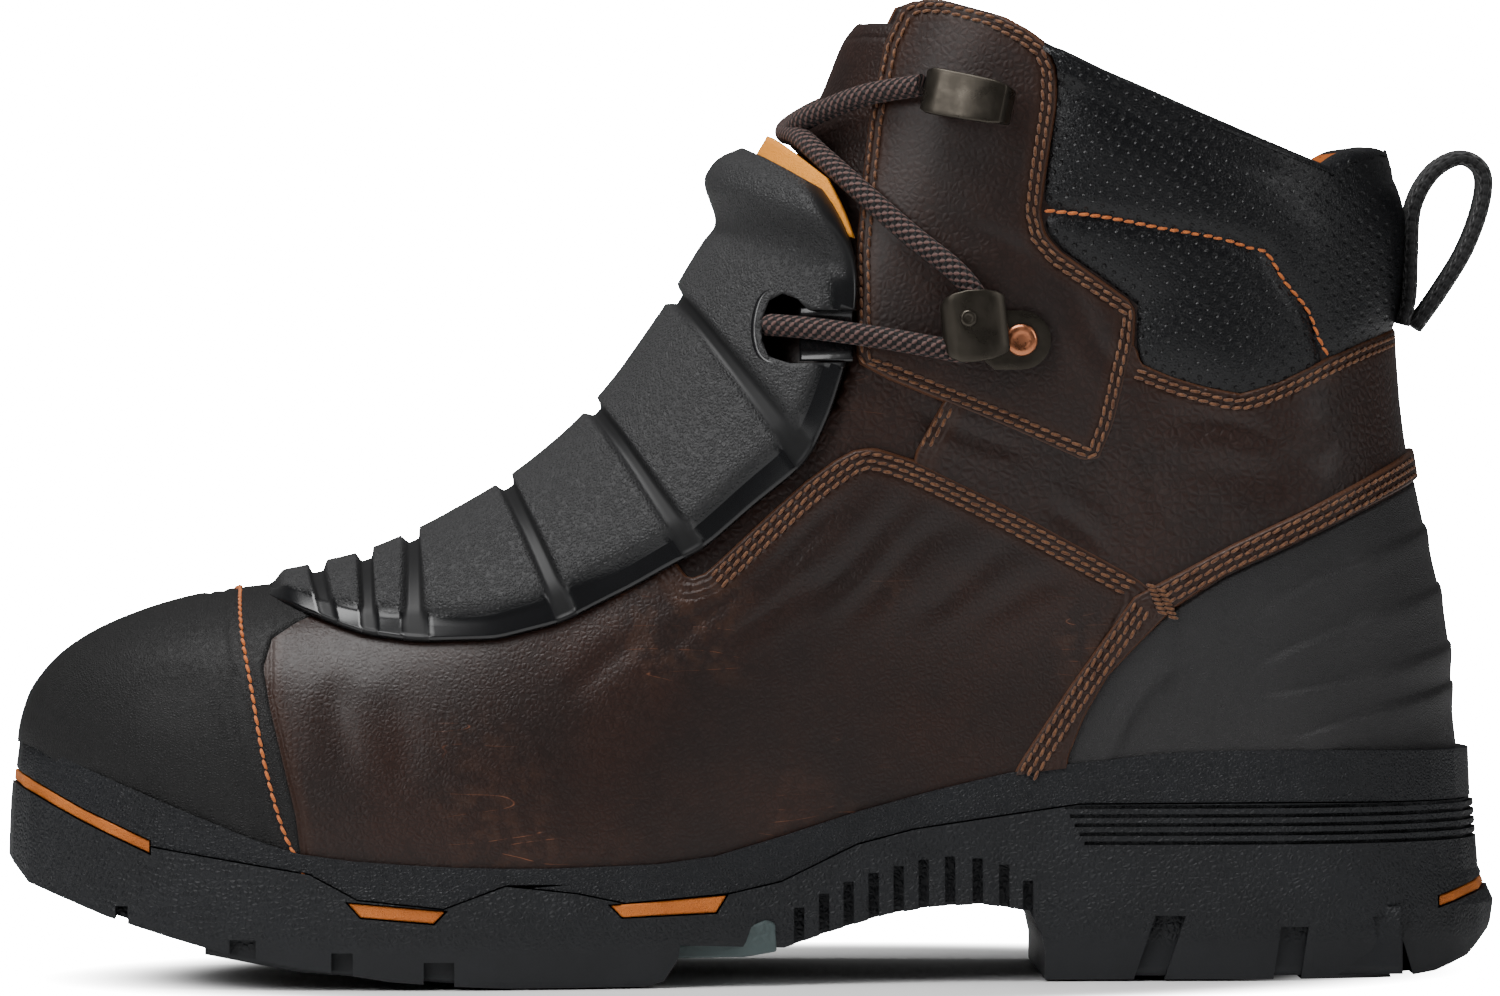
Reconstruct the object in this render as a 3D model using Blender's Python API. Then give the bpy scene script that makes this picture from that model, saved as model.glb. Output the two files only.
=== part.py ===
"""Metatarsal guard work boot, right foot, toe towards -X, medial side towards -Y, sole on z = 0."""
import math

import bpy
import bmesh
import numpy as np
from mathutils import Matrix, Vector

for item in list(bpy.data.objects):
    bpy.data.objects.remove(item, do_unlink=True)

# Main sizes in metres
LENGTH = 0.316
BALL_WIDTH = 0.112
SHAFT_WIDTH = 0.079
WALL = 0.0022
SEAT_GAP = 0.0003
CAP_THICK = 0.0014
COUNTER_THICK = 0.0016
FACING_THICK = 0.0014
COLLAR_THICK = 0.0028
TONGUE_THICK = 0.0055
INSOLE_THICK = 0.0040
INSOLE_EASE = 0.0030
UPPER_INSET = 0.0045
GUARD_FLANGE = 0.0044
LACE_RADIUS = 0.0023
HOOK_METAL = 0.0010
LOOP_HALF_WIDTH = 0.0090
LOOP_THICK = 0.0028
RIVET_RADIUS = 0.0033
RIVET_HEAD = 0.0016
CUT_REACH = 0.090
SHARP_ANGLE = math.radians(40)

# The tables count heights and stations in 316ths of the length, from the middle of the foot,
# and half widths in 112ths of the ball width
U = LENGTH / 316.0
W = BALL_WIDTH / 112.0

# along, middle of the width, half width of the sole before its ends are rounded
PLAN = [(-158, -5.0, 38.0), (-148, -4.0, 40.0), (-133, -3.0, 44.3), (-111, -2.0, 47.5),
        (-79, -1.5, 52.5), (-54, -0.5, 55.5), (-25, 1.5, 54.5), (6, 4.0, 48.5), (38, 4.5, 43.0),
        (70, 2.5, 41.0), (101, 0.5, 41.5), (126, 0.0, 40.5), (158, 0.0, 38.5)]
TOE_ROUND = 63 * U
HEEL_ROUND = 41 * U
END_POWER = 2.2
CLOSING = 0.05

# height, toe end, heel end, growth of the half width
SOLE_LEVELS = [(-2, -158, 157, -2.5), (9, -158, 157.6, -0.6), (14.6, -158, 158, 0.0),
               (21.7, -158, 154.8, -0.7), (30, -157.8, 154.2, -0.9), (38, -157.4, 153.6, -1.1),
               (46, -156.6, 153.3, -1.5), (56, -155.2, 153, -2.0)]

# along, height of the line where the upper stands on the sole
FEATHER = [(-170, 51.8), (-155.7, 51.5), (-149.7, 50.2), (-143.8, 46.9), (-129, 40.7), (-114, 34.5),
           (-96, 28.2), (-74, 25.9), (-53, 25.1), (-32, 25.3), (-9, 27.0), (20.7, 35.7),
           (53, 43.6), (75, 46.3), (93, 48.0), (125, 48.0), (151.4, 47.2), (170, 47.0)]

# along, height of the line between the outsole and the midsole
SPLIT = [(-170, 46.0), (-157, 43.8), (-142, 36.0), (-127, 29.5), (-94, 24.0), (-84, 18.6),
         (-66, 16.7), (-53, 21.5), (-38, 19.8), (-28, 17.6), (-6, 19.2), (5, 21.5), (21, 29.0),
         (33, 32.0), (68, 37.0), (110, 37.2), (170, 36.5)]

# along, height of the underside, with the toe spring, the arch and the heel
TREAD = [(-170, 32.0), (-158, 26.6), (-153.5, 21.2), (-136.6, 14.7), (-123, 10.5), (-111.5, 7.2),
         (-98.6, 4.8), (-90, 3.4), (-77, 1.4), (-63.5, 0.4), (-53, 0), (-23.3, 0), (-19.9, 1.0),
         (-16.9, 5.5), (-16.5, 8.6), (5.5, 7.6), (16.7, 11.2), (27.3, 14.2), (37.4, 15.7),
         (47.4, 16.1), (57.5, 14.6), (59.9, 9.7), (60.7, 5.9), (60.7, 0), (135.4, 0),
         (143.4, 1.0), (150.8, 3.8), (155.9, 9.0), (158.4, 14.6), (170, 22.0)]

# along, height of the front ridge from the toe over the instep to the front of the collar
RIDGE = [(-153.6, 40.0), (-153.5, 51.0), (-152.4, 56.7), (-150.2, 61.4), (-146.8, 65.6),
         (-142.4, 69.2), (-135.6, 73.0), (-126.0, 76.6), (-115.5, 79.2), (-104.0, 80.6),
         (-90.0, 82.0), (-76.0, 85.2), (-57.0, 94.0), (-38.0, 107.0), (-24.0, 121.5),
         (-13.5, 136.0), (-4.0, 151.0), (2.0, 162.0), (7.3, 173.0), (11.0, 182.6), (14.2, 189.5),
         (17.0, 196.5), (19.5, 202.0), (23.5, 211.0)]

# height, along of the back line from the heel up to the collar
BACK = [(36, 148.6), (45, 148.4), (57, 147.2), (68, 146.8), (79, 145.0), (90, 142.4),
        (102, 139.8), (109, 138.6), (116, 137.6), (123, 136.9), (135, 136.2), (150, 136.4),
        (161, 136.0), (170, 134.0), (182, 130.5)]

# along and height of each section line at the ridge, then at its lower or rear end
FAN = [(-153.50, 51.0, -153.6, 41.0), (-152.6, 56.0, -152.4, 41.5), (-150.2, 61.4, -148.5, 41.0),
       (-144.5, 67.6, -140.5, 37.5), (-135.6, 73.0, -131.0, 34.0), (-121.0, 77.9, -117.0, 28.0),
       (-104.0, 80.6, -100.0, 22.0), (-84.0, 83.2, -78.0, 19.0), (-62.0, 91.4, -52.0, 18.0),
       (-43.0, 103.3, -22.0, 18.5), (-27.0, 118.1, 12.0, 25.0), (-14.5, 134.6, 50.0, 35.0),
       (-5.5, 148.6, 88.0, 40.0), (0.0, 158.2, 118.0, 40.5), (2.3, 162.6, 130.0, 40.5),
       (4.4, 167.0, 138.5, 40.4), (6.2, 170.6, 144.5, 40.2), (7.6, 173.8, 147.4, 40.0),
       (9.2, 177.8, 148.5, 41.0), (11.4, 183.5, 147.2, 57.0),
       (13.4, 187.8, 145.6, 76.0), (15.4, 192.4, 142.0, 92.0), (17.2, 197.0, 138.6, 109.0),
       (18.8, 200.5, 136.6, 128.0), (20.6, 204.3, 136.4, 148.0), (22.2, 208.0, 134.2, 169.0),
       (23.5, 211.0, 130.9, 181.0)]

# along and height of the collar line, front to back
COLLAR_LINE = [(8, 200.0), (26, 203.0), (32.6, 205.0), (37, 206.6), (42.3, 206.4), (50.9, 204.0),
               (58.1, 200.0), (63.0, 196.2), (74, 190.8), (95, 181.7), (113, 174.0), (121, 170.6),
               (126, 173.6), (131, 174.4), (140, 172.0), (160, 170.0)]

# along and height of the facing's outline
FACING = [(32.6, 205.0), (37, 206.6), (42.3, 206.4), (50.9, 204.0), (58.1, 200.0), (62.3, 196.4),
          (64.1, 191.5), (63.9, 184.0), (61.3, 168.4), (60.4, 161.6), (61.3, 157.2), (64.1, 153.7),
          (80.3, 142.1), (79.9, 134.0), (75.8, 117.1), (72.7, 109.7), (69.5, 108.8), (52.8, 116.4),
          (28.1, 126.6), (21.5, 130.2), (21.8, 153.0), (23.7, 170.0), (25.0, 180.5), (28.6, 197.0)]

# along and height of the throat opening, its edge first and then a wide frame in front
THROAT = [(32.6, 205.0), (28.6, 197.0), (25.0, 180.5), (23.7, 170.0), (21.8, 153.0), (21.3, 134.0),
          (17.0, 121.0), (8.0, 112.5), (-6.0, 110.0), (-20.0, 113.0), (-70.0, 140.0),
          (-70.0, 230.0), (34.0, 230.0)]

# along and height of the toe cap's rear edge, from below up over the top
CAP_EDGE = [(-93.2, 14.0), (-96.0, 36.0), (-98.9, 48.1), (-101.4, 58.4), (-102.7, 65.9),
            (-101.0, 71.2), (-96.0, 74.3), (-89.4, 76.9), (-86.0, 95.0)]

# along and height of the counter's front and upper edge
COUNTER_EDGE = [(60.0, 30.0), (62.3, 46.9), (66.4, 55.6), (70.8, 63.8), (77.1, 69.6), (87.0, 77.6),
                (98.6, 85.0), (116.3, 93.2), (141.3, 104.5), (160.0, 112.5)]

# along and height of the collar panel's lower edge
COLLAR_EDGE = [(80.6, 134.0), (80.9, 130.0), (87.8, 127.1), (94.8, 124.9), (102.0, 123.4),
               (110.3, 125.8), (120.4, 130.5), (128.3, 133.8), (137.1, 136.8), (160.0, 143.0)]

# ridge along, edge along, edge height, top of the guard above the leather, underside above it
GUARD_ROWS = [(-101.6, -101.9, 79.2, 3.6, 2.4), (-99.0, -96.5, 76.6, 5.0, 2.4),
              (-92.8, -90.4, 74.6, 5.6, 2.4), (-91.6, -89.2, 74.2, 4.2, 2.4),
              (-90.2, -87.6, 73.6, 5.8, 2.4), (-81.8, -82.0, 72.0, 6.2, 2.4),
              (-80.6, -80.4, 71.8, 4.4, 2.4), (-79.2, -78.8, 71.6, 6.4, 2.4),
              (-71.2, -73.6, 71.0, 6.6, 2.4), (-69.8, -71.0, 70.8, 4.6, 2.4),
              (-68.2, -68.0, 70.8, 6.6, 2.4), (-59.0, -54.0, 71.4, 6.8, 2.4),
              (-50.2, -41.5, 74.6, 6.6, 2.4), (-48.6, -39.2, 75.6, 4.6, 2.4),
              (-47.0, -37.0, 76.6, 6.6, 2.4), (-38.0, -26.0, 82.0, 6.8, 2.4),
              (-29.9, -14.8, 88.4, 6.6, 2.4), (-28.7, -12.0, 89.8, 4.6, 2.4),
              (-27.2, -9.5, 91.4, 6.6, 2.4), (-19.0, 0.5, 100.0, 6.8, 2.4),
              (-11.8, 8.5, 106.4, 6.6, 2.4), (-10.6, 11.0, 108.8, 4.6, 2.4),
              (-9.4, 13.6, 112.2, 6.8, 2.4), (-6.6, 19.6, 127.0, 7.0, 3.2),
              (-3.4, 23.2, 142.0, 7.0, 3.6), (-1.0, 23.3, 150.5, 6.2, 4.0),
              (2.2, 22.1, 157.0, 11.5, 5.4), (5.0, 20.0, 162.0, 11.0, 5.9),
              (7.2, 17.8, 165.6, 8.0, 6.0)]
GUARD_COLUMNS = [0.0, 0.10, 0.24, 0.42, 0.62, 0.80, 0.90, 1.0]
FLANGE_FROM = 0.85

# along and height of the guard's lacing slot
SLOT = [(2.4, 132.6), (0.9, 136.4), (2.4, 140.0), (6.0, 141.6), (40.0, 141.6), (40.0, 131.0),
        (6.0, 131.0)]

# front, width, depth of each lug groove at the edge of the sole, and how far it leans back
LUG_GROOVES = [(-134.8, 2.6, 17.0, 0.0), (-110.8, 5.5, 10.2, 0.0), (-89.5, 4.5, 7.5, 0.0),
               (-70.2, 6.4, 5.5, 0.0), (78.3, 6.4, 13.5, 5.5), (108.2, 5.8, 11.0, 2.0),
               (134.6, 5.0, 13.0, -5.0)]
GROOVE_REACH = 17 * W

# front, rear and top of the channels hidden under the tread
CHANNELS = [(-128.0, -118.0, 15.5), (-101.0, -94.0, 9.5), (-82.0, -76.0, 6.5), (-60.0, -54.0, 4.8),
            (-44.0, -38.0, 4.8), (66.0, 72.0, 5.0), (94.0, 100.0, 5.0), (122.0, 128.0, 5.0)]
CHANNEL_HALF = 27 * W

# front of each groove between two arch ribs, and its top
ARCH_GROOVES = [(7.6, 16.0), (12.9, 18.8), (18.1, 21.2), (23.4, 23.0), (28.7, 24.4), (34.0, 25.6),
                (39.6, 26.2), (45.4, 25.8), (51.0, 24.4), (56.0, 21.0)]
ARCH_GROOVE_WIDTH = 2.2 * U
ARCH_GROOVE_DEPTH = 2.4 * W

HEEL_RIB_LOW = 28.4
HEEL_RIB_STEP = 1.9
HEEL_RIB_COUNT = 5
HEEL_RIB_FRONT = 69.0
HEEL_RIB_SLOT = 0.8
HEEL_RIB_DEPTH = 0.9
HEEL_RIB_STEPS = 12

# outline of each insert in the sole's side
TOE_INSERT = [(-165.0, 48.2), (-165.0, 45.6), (-157.0, 42.5), (-142.0, 34.8), (-127.5, 28.2),
              (-127.5, 30.7), (-142.0, 37.2), (-157.0, 45.0)]
HEEL_INSERT = [(144.3, 14.6), (166.0, 21.0), (166.0, 23.2), (144.3, 16.7)]
SIDE_INSERTS = [("front", [(-86.0, 18.0), (-83.3, 15.0), (-68.0, 13.7), (-65.6, 16.2)]),
                ("rear", [(-31.0, 17.2), (-28.6, 14.7), (-8.8, 15.3), (-6.6, 18.8)])]
INSERT_DEPTH = 8 * W


def collection(name):
    made = bpy.data.collections.new(name)
    bpy.context.scene.collection.children.link(made)
    return made


PARTS = collection("metatarsal_guard_boot")
CUTTERS = collection("cutters")


def scaled(table):
    return [tuple(value * U for value in row) for row in table]


def smooth(table, steps):
    """A smooth line through every row of a table."""
    rows = [np.array(row, dtype=float) for row in table]
    rows = [2 * rows[0] - rows[1]] + rows + [2 * rows[-1] - rows[-2]]
    line = []
    for k in range(1, len(rows) - 2):
        a, b, c, d = rows[k - 1:k + 3]
        for step in range(steps):
            t = step / steps
            line.append(0.5 * (2 * b + (c - a) * t + (2 * a - 5 * b + 4 * c - d) * t ** 2
                               + (3 * b - a - 3 * c + d) * t ** 3))
    line.append(rows[-2])
    return np.array(line)


FEATHER_LINE = smooth(scaled(FEATHER), 6)
RIDGE_LINE = smooth(scaled(RIDGE), 8)
BACK_LINE = smooth(scaled(BACK), 6)
PLAN_LINE = smooth(PLAN, 8)


def rounded(share, power):
    share = min(max(share, 0.0), 1.0)
    return (1.0 - (1.0 - share) ** power) ** (1.0 / power)


def ease(share):
    share = min(max(share, 0.0), 1.0)
    return share * share * (3.0 - 2.0 * share)


def feather(x):
    return float(np.interp(x, FEATHER_LINE[:, 0], FEATHER_LINE[:, 1]))


def ridge_height(x):
    return float(np.interp(x, RIDGE_LINE[:, 0], RIDGE_LINE[:, 1]))


def ridge_along(z):
    return float(np.interp(z, RIDGE_LINE[:, 1], RIDGE_LINE[:, 0]))


def back_along(z):
    return float(np.interp(z, BACK_LINE[:, 0], BACK_LINE[:, 1]))


def plan(x):
    """Middle and half width of the sole at a station, before its ends are rounded."""
    middle = np.interp(x / U, PLAN_LINE[:, 0], PLAN_LINE[:, 1])
    half = np.interp(x / U, PLAN_LINE[:, 0], PLAN_LINE[:, 2])
    return float(middle) * W, float(half) * W


def sole_half(x, toe, heel, growth):
    half = plan(x)[1] + growth
    half *= rounded((x - toe) / TOE_ROUND, END_POWER)
    return half * rounded((heel - x) / HEEL_ROUND, END_POWER)


def middle_line(x, z):
    """The foot bends sideways low down and is straight in the shaft."""
    return plan(x)[0] * (1.0 - ease((z - 60 * U) / (80 * U)))


def last_half(x, z):
    """Half width of the last under a point of its side view."""
    foot = plan(x)[1] - UPPER_INSET
    shaft = SHAFT_WIDTH / 2
    rise = ease((z - 60 * U) / (75 * U)) * ease((x + 60 * U) / (80 * U))
    half = foot + (shaft - foot) * rise
    base = feather(x)
    top = max(ridge_height(x), base + 0.001 * U)
    arch = 2.7 - 0.6 * ease((x + 120 * U) / (100 * U))
    over = min(max((z - base) / (top - base), 0.0), 1.0)
    crown = (1.0 - over ** arch) ** (1.0 / arch)
    front = rounded((x - ridge_along(z)) / (56 * U), 2.0)
    turn = ease((x + 35 * U) / (55 * U))
    half *= crown * (1.0 - turn) + front * turn
    half *= rounded((x + 153.6 * U) / TOE_ROUND, END_POWER)
    rear = 40 * U + 10 * U * ease((z - 100 * U) / (60 * U))
    return half * rounded((back_along(z) - x) / rear, 2.15)


def skin_point(x, z, side):
    return Vector((x, middle_line(x, z) + side * last_half(x, z), z))


def skin(rows, columns):
    """Points of the last between the ridge and the far end of each section, with its faces."""
    grid = []
    for ridge_x, ridge_z, end_x, end_z in rows:
        line = []
        for side, shares in ((-1, columns[::-1]), (1, columns[1:])):
            for share in shares:
                x = ridge_x + (end_x - ridge_x) * share
                z = ridge_z + (end_z - ridge_z) * share
                point = skin_point(x, z, side)
                if share == 0.0 or (share == 1.0 and end_x > back_along(end_z) - CLOSING * U):
                    point.y = middle_line(x, z)
                line.append((point, side * share))
        grid.append(line)
    index = {}
    points = []
    ids = []
    for r, line in enumerate(grid):
        row_ids = []
        for point, share in line:
            key = tuple(round(value * 1e7) for value in point)
            if key not in index:
                index[key] = len(points)
                points.append((point, r, abs(share)))
            row_ids.append(index[key])
        ids.append(row_ids)
    faces = []
    for r, (lower, upper) in enumerate(zip(ids, ids[1:])):
        for c in range(len(lower) - 1):
            share = max(abs(grid[r][c][1]), abs(grid[r][c + 1][1]))
            for face in ((lower[c], lower[c + 1], upper[c + 1]), (lower[c], upper[c + 1], upper[c])):
                if len(set(face)) == 3:
                    faces.append((face, r, share))
    return points, faces


def shell(name, rows, columns, inner, outer, target, span=(-1.0, 1.0), reach=1.0):
    """A closed solid between two offsets of the last. Offsets are given per row and share.

    Only the sections whose ridge point lies in the span are kept, out to the share in reach.
    """
    points, faces = skin(rows, columns)
    normals = [Vector() for _ in points]
    kept = []
    for face, row, share in faces:
        a, b, c = (points[k][0] for k in face)
        normal = (c - a).cross(b - a)
        if normal.length > 0:
            for vertex in face:
                normals[vertex] += normal.normalized()
        if span[0] <= rows[row][0] <= span[1] and share <= reach + 1e-6:
            kept.append(face)
    bm = bmesh.new()
    high = {}
    low = {}
    for k in sorted({vertex for face in kept for vertex in face}):
        point, row, share = points[k]
        normal = normals[k].normalized()
        high[k] = bm.verts.new(point + normal * outer(row, share))
        low[k] = bm.verts.new(point + normal * inner(row, share))
    used = {}
    for face in kept:
        bm.faces.new([high[k] for k in face])
        bm.faces.new([low[k] for k in reversed(face)])
        for a, b in (face[:2], face[1:], (face[2], face[0])):
            used[(a, b)] = True
    for a, b in used:
        if (b, a) not in used:
            bm.faces.new([high[b], high[a], low[a], low[b]])
    return rounded_shading(finish(name, bm, target))


def rounded_shading(thing):
    """Smooth shading with the edges of the form kept sharp."""
    thing.data.shade_smooth()
    thing.data.set_sharp_from_angle(angle=SHARP_ANGLE)
    return thing


def finish(name, bm, target):
    bmesh.ops.remove_doubles(bm, verts=bm.verts, dist=1e-7)
    bmesh.ops.recalc_face_normals(bm, faces=bm.faces)
    mesh = bpy.data.meshes.new(name)
    bm.to_mesh(mesh)
    bm.free()
    thing = bpy.data.objects.new(name, mesh)
    target.objects.link(thing)
    if target is CUTTERS:
        thing.hide_render = True
        thing.display_type = "WIRE"
    return thing


def paint(thing, colour, roughness, metallic=0.0):
    material = bpy.data.materials.new(thing.name + "_finish")
    material.use_nodes = True
    shader = material.node_tree.nodes["Principled BSDF"]
    shader.inputs["Base Color"].default_value = (*colour, 1.0)
    shader.inputs["Roughness"].default_value = roughness
    shader.inputs["Metallic"].default_value = metallic
    thing.data.materials.append(material)


def cut(thing, tool, operation="DIFFERENCE"):
    step = thing.modifiers.new(tool.name, "BOOLEAN")
    step.operation = operation
    step.solver = "EXACT"
    step.object = tool


def add_prism(bm, outline, low, high):
    """A side-view outline drawn out across the boot from one y to another."""
    face = bm.faces.new([bm.verts.new((x, low, z)) for x, z in outline])
    drawn = bmesh.ops.extrude_face_region(bm, geom=[face])["geom"]
    far = [item for item in drawn if isinstance(item, bmesh.types.BMVert)]
    bmesh.ops.translate(bm, verts=far, vec=(0.0, high - low, 0.0))


def prism(name, outline, low=-CUT_REACH, high=CUT_REACH, target=None):
    bm = bmesh.new()
    add_prism(bm, outline, low, high)
    return finish(name, bm, CUTTERS if target is None else target)


def plan_ring(toe, heel, z, growth, count):
    """Closed outline of the sole at one height."""
    xs = [toe + (heel - toe) * (0.5 - 0.5 * math.cos(math.pi * k / count)) for k in range(count + 1)]
    ring = []
    for side, stations in ((-1, xs), (1, xs[-2:0:-1])):
        for x in stations:
            ring.append((x, plan(x)[0] + side * sole_half(x, toe, heel, growth), z))
    return ring


def stack(name, rings, target):
    """A closed solid through level outlines, lowest first."""
    bm = bmesh.new()
    rows = [[bm.verts.new(point) for point in ring] for ring in rings]
    bm.faces.new(list(reversed(rows[0])))
    bm.faces.new(rows[-1])
    count = len(rows[0])
    for lower, upper in zip(rows, rows[1:]):
        for k in range(count):
            n = (k + 1) % count
            bm.faces.new([lower[k], lower[n], upper[n], upper[k]])
    return finish(name, bm, target)


def sole_form(name, inset, target, count=26):
    rings = []
    for height, toe, heel, growth in SOLE_LEVELS:
        rings.append(plan_ring(toe * U + inset, heel * U - inset, height * U,
                               growth * W - inset, count))
    return stack(name, rings, target)


# Section lines of the whole upper, front to back
SECTIONS = []
for ridge_x, ridge_z, end_x, end_z in scaled(FAN):
    if end_z > 40.6 * U and end_x > 100 * U:
        end_x = back_along(end_z)
    SECTIONS.append((ridge_x, ridge_z, end_x, end_z))
COLUMN_COUNT = 9
COLUMNS = [0.5 - 0.5 * math.cos(math.pi * k / COLUMN_COUNT) for k in range(COLUMN_COUNT + 1)]


def fixed(value):
    return lambda row, share: value


def below(line, up, depth):
    """Outline of everything under a line."""
    top = [(x, z + up) for x, z in line]
    return top + [(line[-1][0], -depth), (line[0][0], -depth)]


def above(line, up):
    low = [(x, z + up) for x, z in line]
    return low + [(line[-1][0], 0.25 * LENGTH + 0.17), (line[0][0], 0.25 * LENGTH + 0.17)]


# Outsole
outsole = sole_form("outsole", 0.0, PARTS)
paint(outsole, (0.016, 0.017, 0.020), 0.62)
outsole_side = scaled(TREAD) + [(x, z - SEAT_GAP / 2) for x, z in reversed(scaled(SPLIT))]
cut(outsole, prism("outsole_side", outsole_side), "INTERSECT")

grooves = bmesh.new()
for front, width, top, lean in LUG_GROOVES:
    outline = [(front * U, -3 * U), ((front + width) * U, -3 * U),
               ((front + width + lean) * U, top * U), ((front + lean) * U, top * U)]
    station = (front + width / 2) * U
    middle, half = plan(station)
    reach = half * rounded((station + 158 * U) / TOE_ROUND, END_POWER)
    reach *= rounded((158 * U - station) / HEEL_ROUND, END_POWER)
    add_prism(grooves, outline, middle - reach - 20 * W, middle - reach + GROOVE_REACH)
    add_prism(grooves, outline, middle + reach - GROOVE_REACH, middle + reach + 20 * W)
cut(outsole, finish("lug_grooves", grooves, CUTTERS))

channels = bmesh.new()
for front, rear, top in CHANNELS:
    outline = [(front * U, -3 * U), (rear * U, -3 * U), (rear * U, top * U), (front * U, top * U)]
    middle = plan((front + rear) / 2 * U)[0]
    add_prism(channels, outline, middle - CHANNEL_HALF, middle + CHANNEL_HALF)
cut(outsole, finish("tread_channels", channels, CUTTERS))

ribs = bmesh.new()
for front, top in ARCH_GROOVES:
    x = front * U
    outline = [(x, 2 * U), (x + ARCH_GROOVE_WIDTH, 2 * U), (x + ARCH_GROOVE_WIDTH, top * U),
               (x, top * U)]
    middle, half = plan(x + ARCH_GROOVE_WIDTH / 2)
    add_prism(ribs, outline, middle - half - 5 * W, middle - half + ARCH_GROOVE_DEPTH)
    add_prism(ribs, outline, middle + half - ARCH_GROOVE_DEPTH, middle + half + 5 * W)
cut(outsole, finish("arch_grooves", ribs, CUTTERS))

heel_slots = bmesh.new()
for k in range(HEEL_RIB_COUNT):
    z = (HEEL_RIB_LOW + HEEL_RIB_STEP * k) * U
    front = (HEEL_RIB_FRONT - k) * U
    outside = []
    inside = []
    for step in range(HEEL_RIB_STEPS + 1):
        turn = -1.0 + 2.0 * step / HEEL_RIB_STEPS
        for line, growth in ((outside, 6 * W), (inside, -(HEEL_RIB_DEPTH + 1.0) * W)):
            end = 154.0 * U + growth + 0.9 * W
            x = front + (end - front) * math.cos(turn * math.pi / 2)
            side = math.copysign(1.0, turn) if abs(turn) > 1e-9 else 0.0
            line.append((x, plan(x)[0] + side * sole_half(x, -158 * U, end, growth)))
    low = [heel_slots.verts.new((x, y, z)) for x, y in outside + inside[::-1]]
    high = [heel_slots.verts.new((x, y, z + HEEL_RIB_SLOT * U)) for x, y in outside + inside[::-1]]
    count = len(outside)
    total = 2 * count
    for a in range(total):
        b = (a + 1) % total
        heel_slots.faces.new([low[a], low[b], high[b], high[a]])
    for a in range(count - 1):
        heel_slots.faces.new([low[a + 1], low[a], low[total - 1 - a], low[total - 2 - a]])
        heel_slots.faces.new([high[a], high[a + 1], high[total - 2 - a], high[total - 1 - a]])
cut(outsole, finish("heel_rib_slots", heel_slots, CUTTERS))

# Midsole with the rim the upper stands on
midsole = sole_form("midsole", 0.0005, PARTS)
paint(midsole, (0.020, 0.021, 0.025), 0.5)
midsole_side = [(x, z + SEAT_GAP / 2) for x, z in scaled(SPLIT)]
midsole_side += [tuple(point) for point in FEATHER_LINE[::-3]]
cut(midsole, prism("midsole_side", midsole_side), "INTERSECT")


def grown(outline, by):
    """The outline pushed out by a distance on every side."""
    result = []
    count = len(outline)
    area = sum(outline[k][0] * outline[(k + 1) % count][1]
               - outline[(k + 1) % count][0] * outline[k][1] for k in range(count))
    turn = 1.0 if area > 0 else -1.0
    for k in range(count):
        a, b, c = (Vector(outline[(k + d) % count]) for d in (-1, 0, 1))
        first = (b - a).normalized()
        second = (c - b).normalized()
        out_a = Vector((first.y, -first.x)) * turn
        out_b = Vector((second.y, -second.x)) * turn
        bisector = (out_a + out_b).normalized()
        result.append(tuple(b + bisector * by / max(bisector.dot(out_a), 0.4)))
    return result


# Orange inserts let into the sole
def insert(name, outline, low, high, growth):
    """The insert fills its pocket in the sole less the seat gap all round."""
    piece = sole_form(name, -growth, PARTS, 18)
    paint(piece, (0.62, 0.19, 0.035), 0.5)
    cut(piece, prism(name + "_side", outline, low, high), "INTERSECT")
    pocket = prism(name + "_pocket", grown(outline, SEAT_GAP), low - SEAT_GAP, high + SEAT_GAP)
    return piece, pocket


for name, table in (("toe_insert", TOE_INSERT), ("heel_insert", HEEL_INSERT)):
    piece, pocket = insert(name, scaled(table), -0.08, 0.08, -0.0004)
    cut(outsole, pocket)
    if name == "toe_insert":
        cut(midsole, pocket)
for label, table in SIDE_INSERTS:
    outline = scaled(table)
    station = (table[0][0] + table[3][0]) / 2 * U
    middle, half = plan(station)
    for side, word in ((-1, "medial"), (1, "lateral")):
        face = middle + side * (half - INSERT_DEPTH)
        low, high = sorted((face, side * CUT_REACH))
        piece, pocket = insert("side_insert_%s_%s" % (label, word), outline, low, high, -0.0004)
        cut(outsole, pocket)
        cut(midsole, pocket)

# Upper
upper = shell("upper", SECTIONS, COLUMNS, fixed(-WALL), fixed(0.0), PARTS)
paint(upper, (0.035, 0.020, 0.014), 0.55)
standing = [tuple(point) for point in FEATHER_LINE[::3]]
below_feather = prism("below_feather", below(standing, SEAT_GAP, 0.03))
above_collar = prism("above_collar", above(scaled(COLLAR_LINE), 0.0))
throat = prism("throat", scaled(THROAT))
cut(upper, below_feather)
cut(upper, above_collar)
cut(upper, throat)

# Toe cap
toe_cap = shell("toe_cap", SECTIONS, COLUMNS, fixed(SEAT_GAP), fixed(SEAT_GAP + CAP_THICK), PARTS,
                span=(-1.0, -82 * U))
paint(toe_cap, (0.012, 0.012, 0.013), 0.6)
cap_side = scaled(CAP_EDGE) + [(-170 * U, 95 * U), (-170 * U, 14 * U)]
cut(toe_cap, prism("toe_cap_side", cap_side), "INTERSECT")
cut(toe_cap, prism("below_cap", below(standing, SEAT_GAP, 0.03)))

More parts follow.
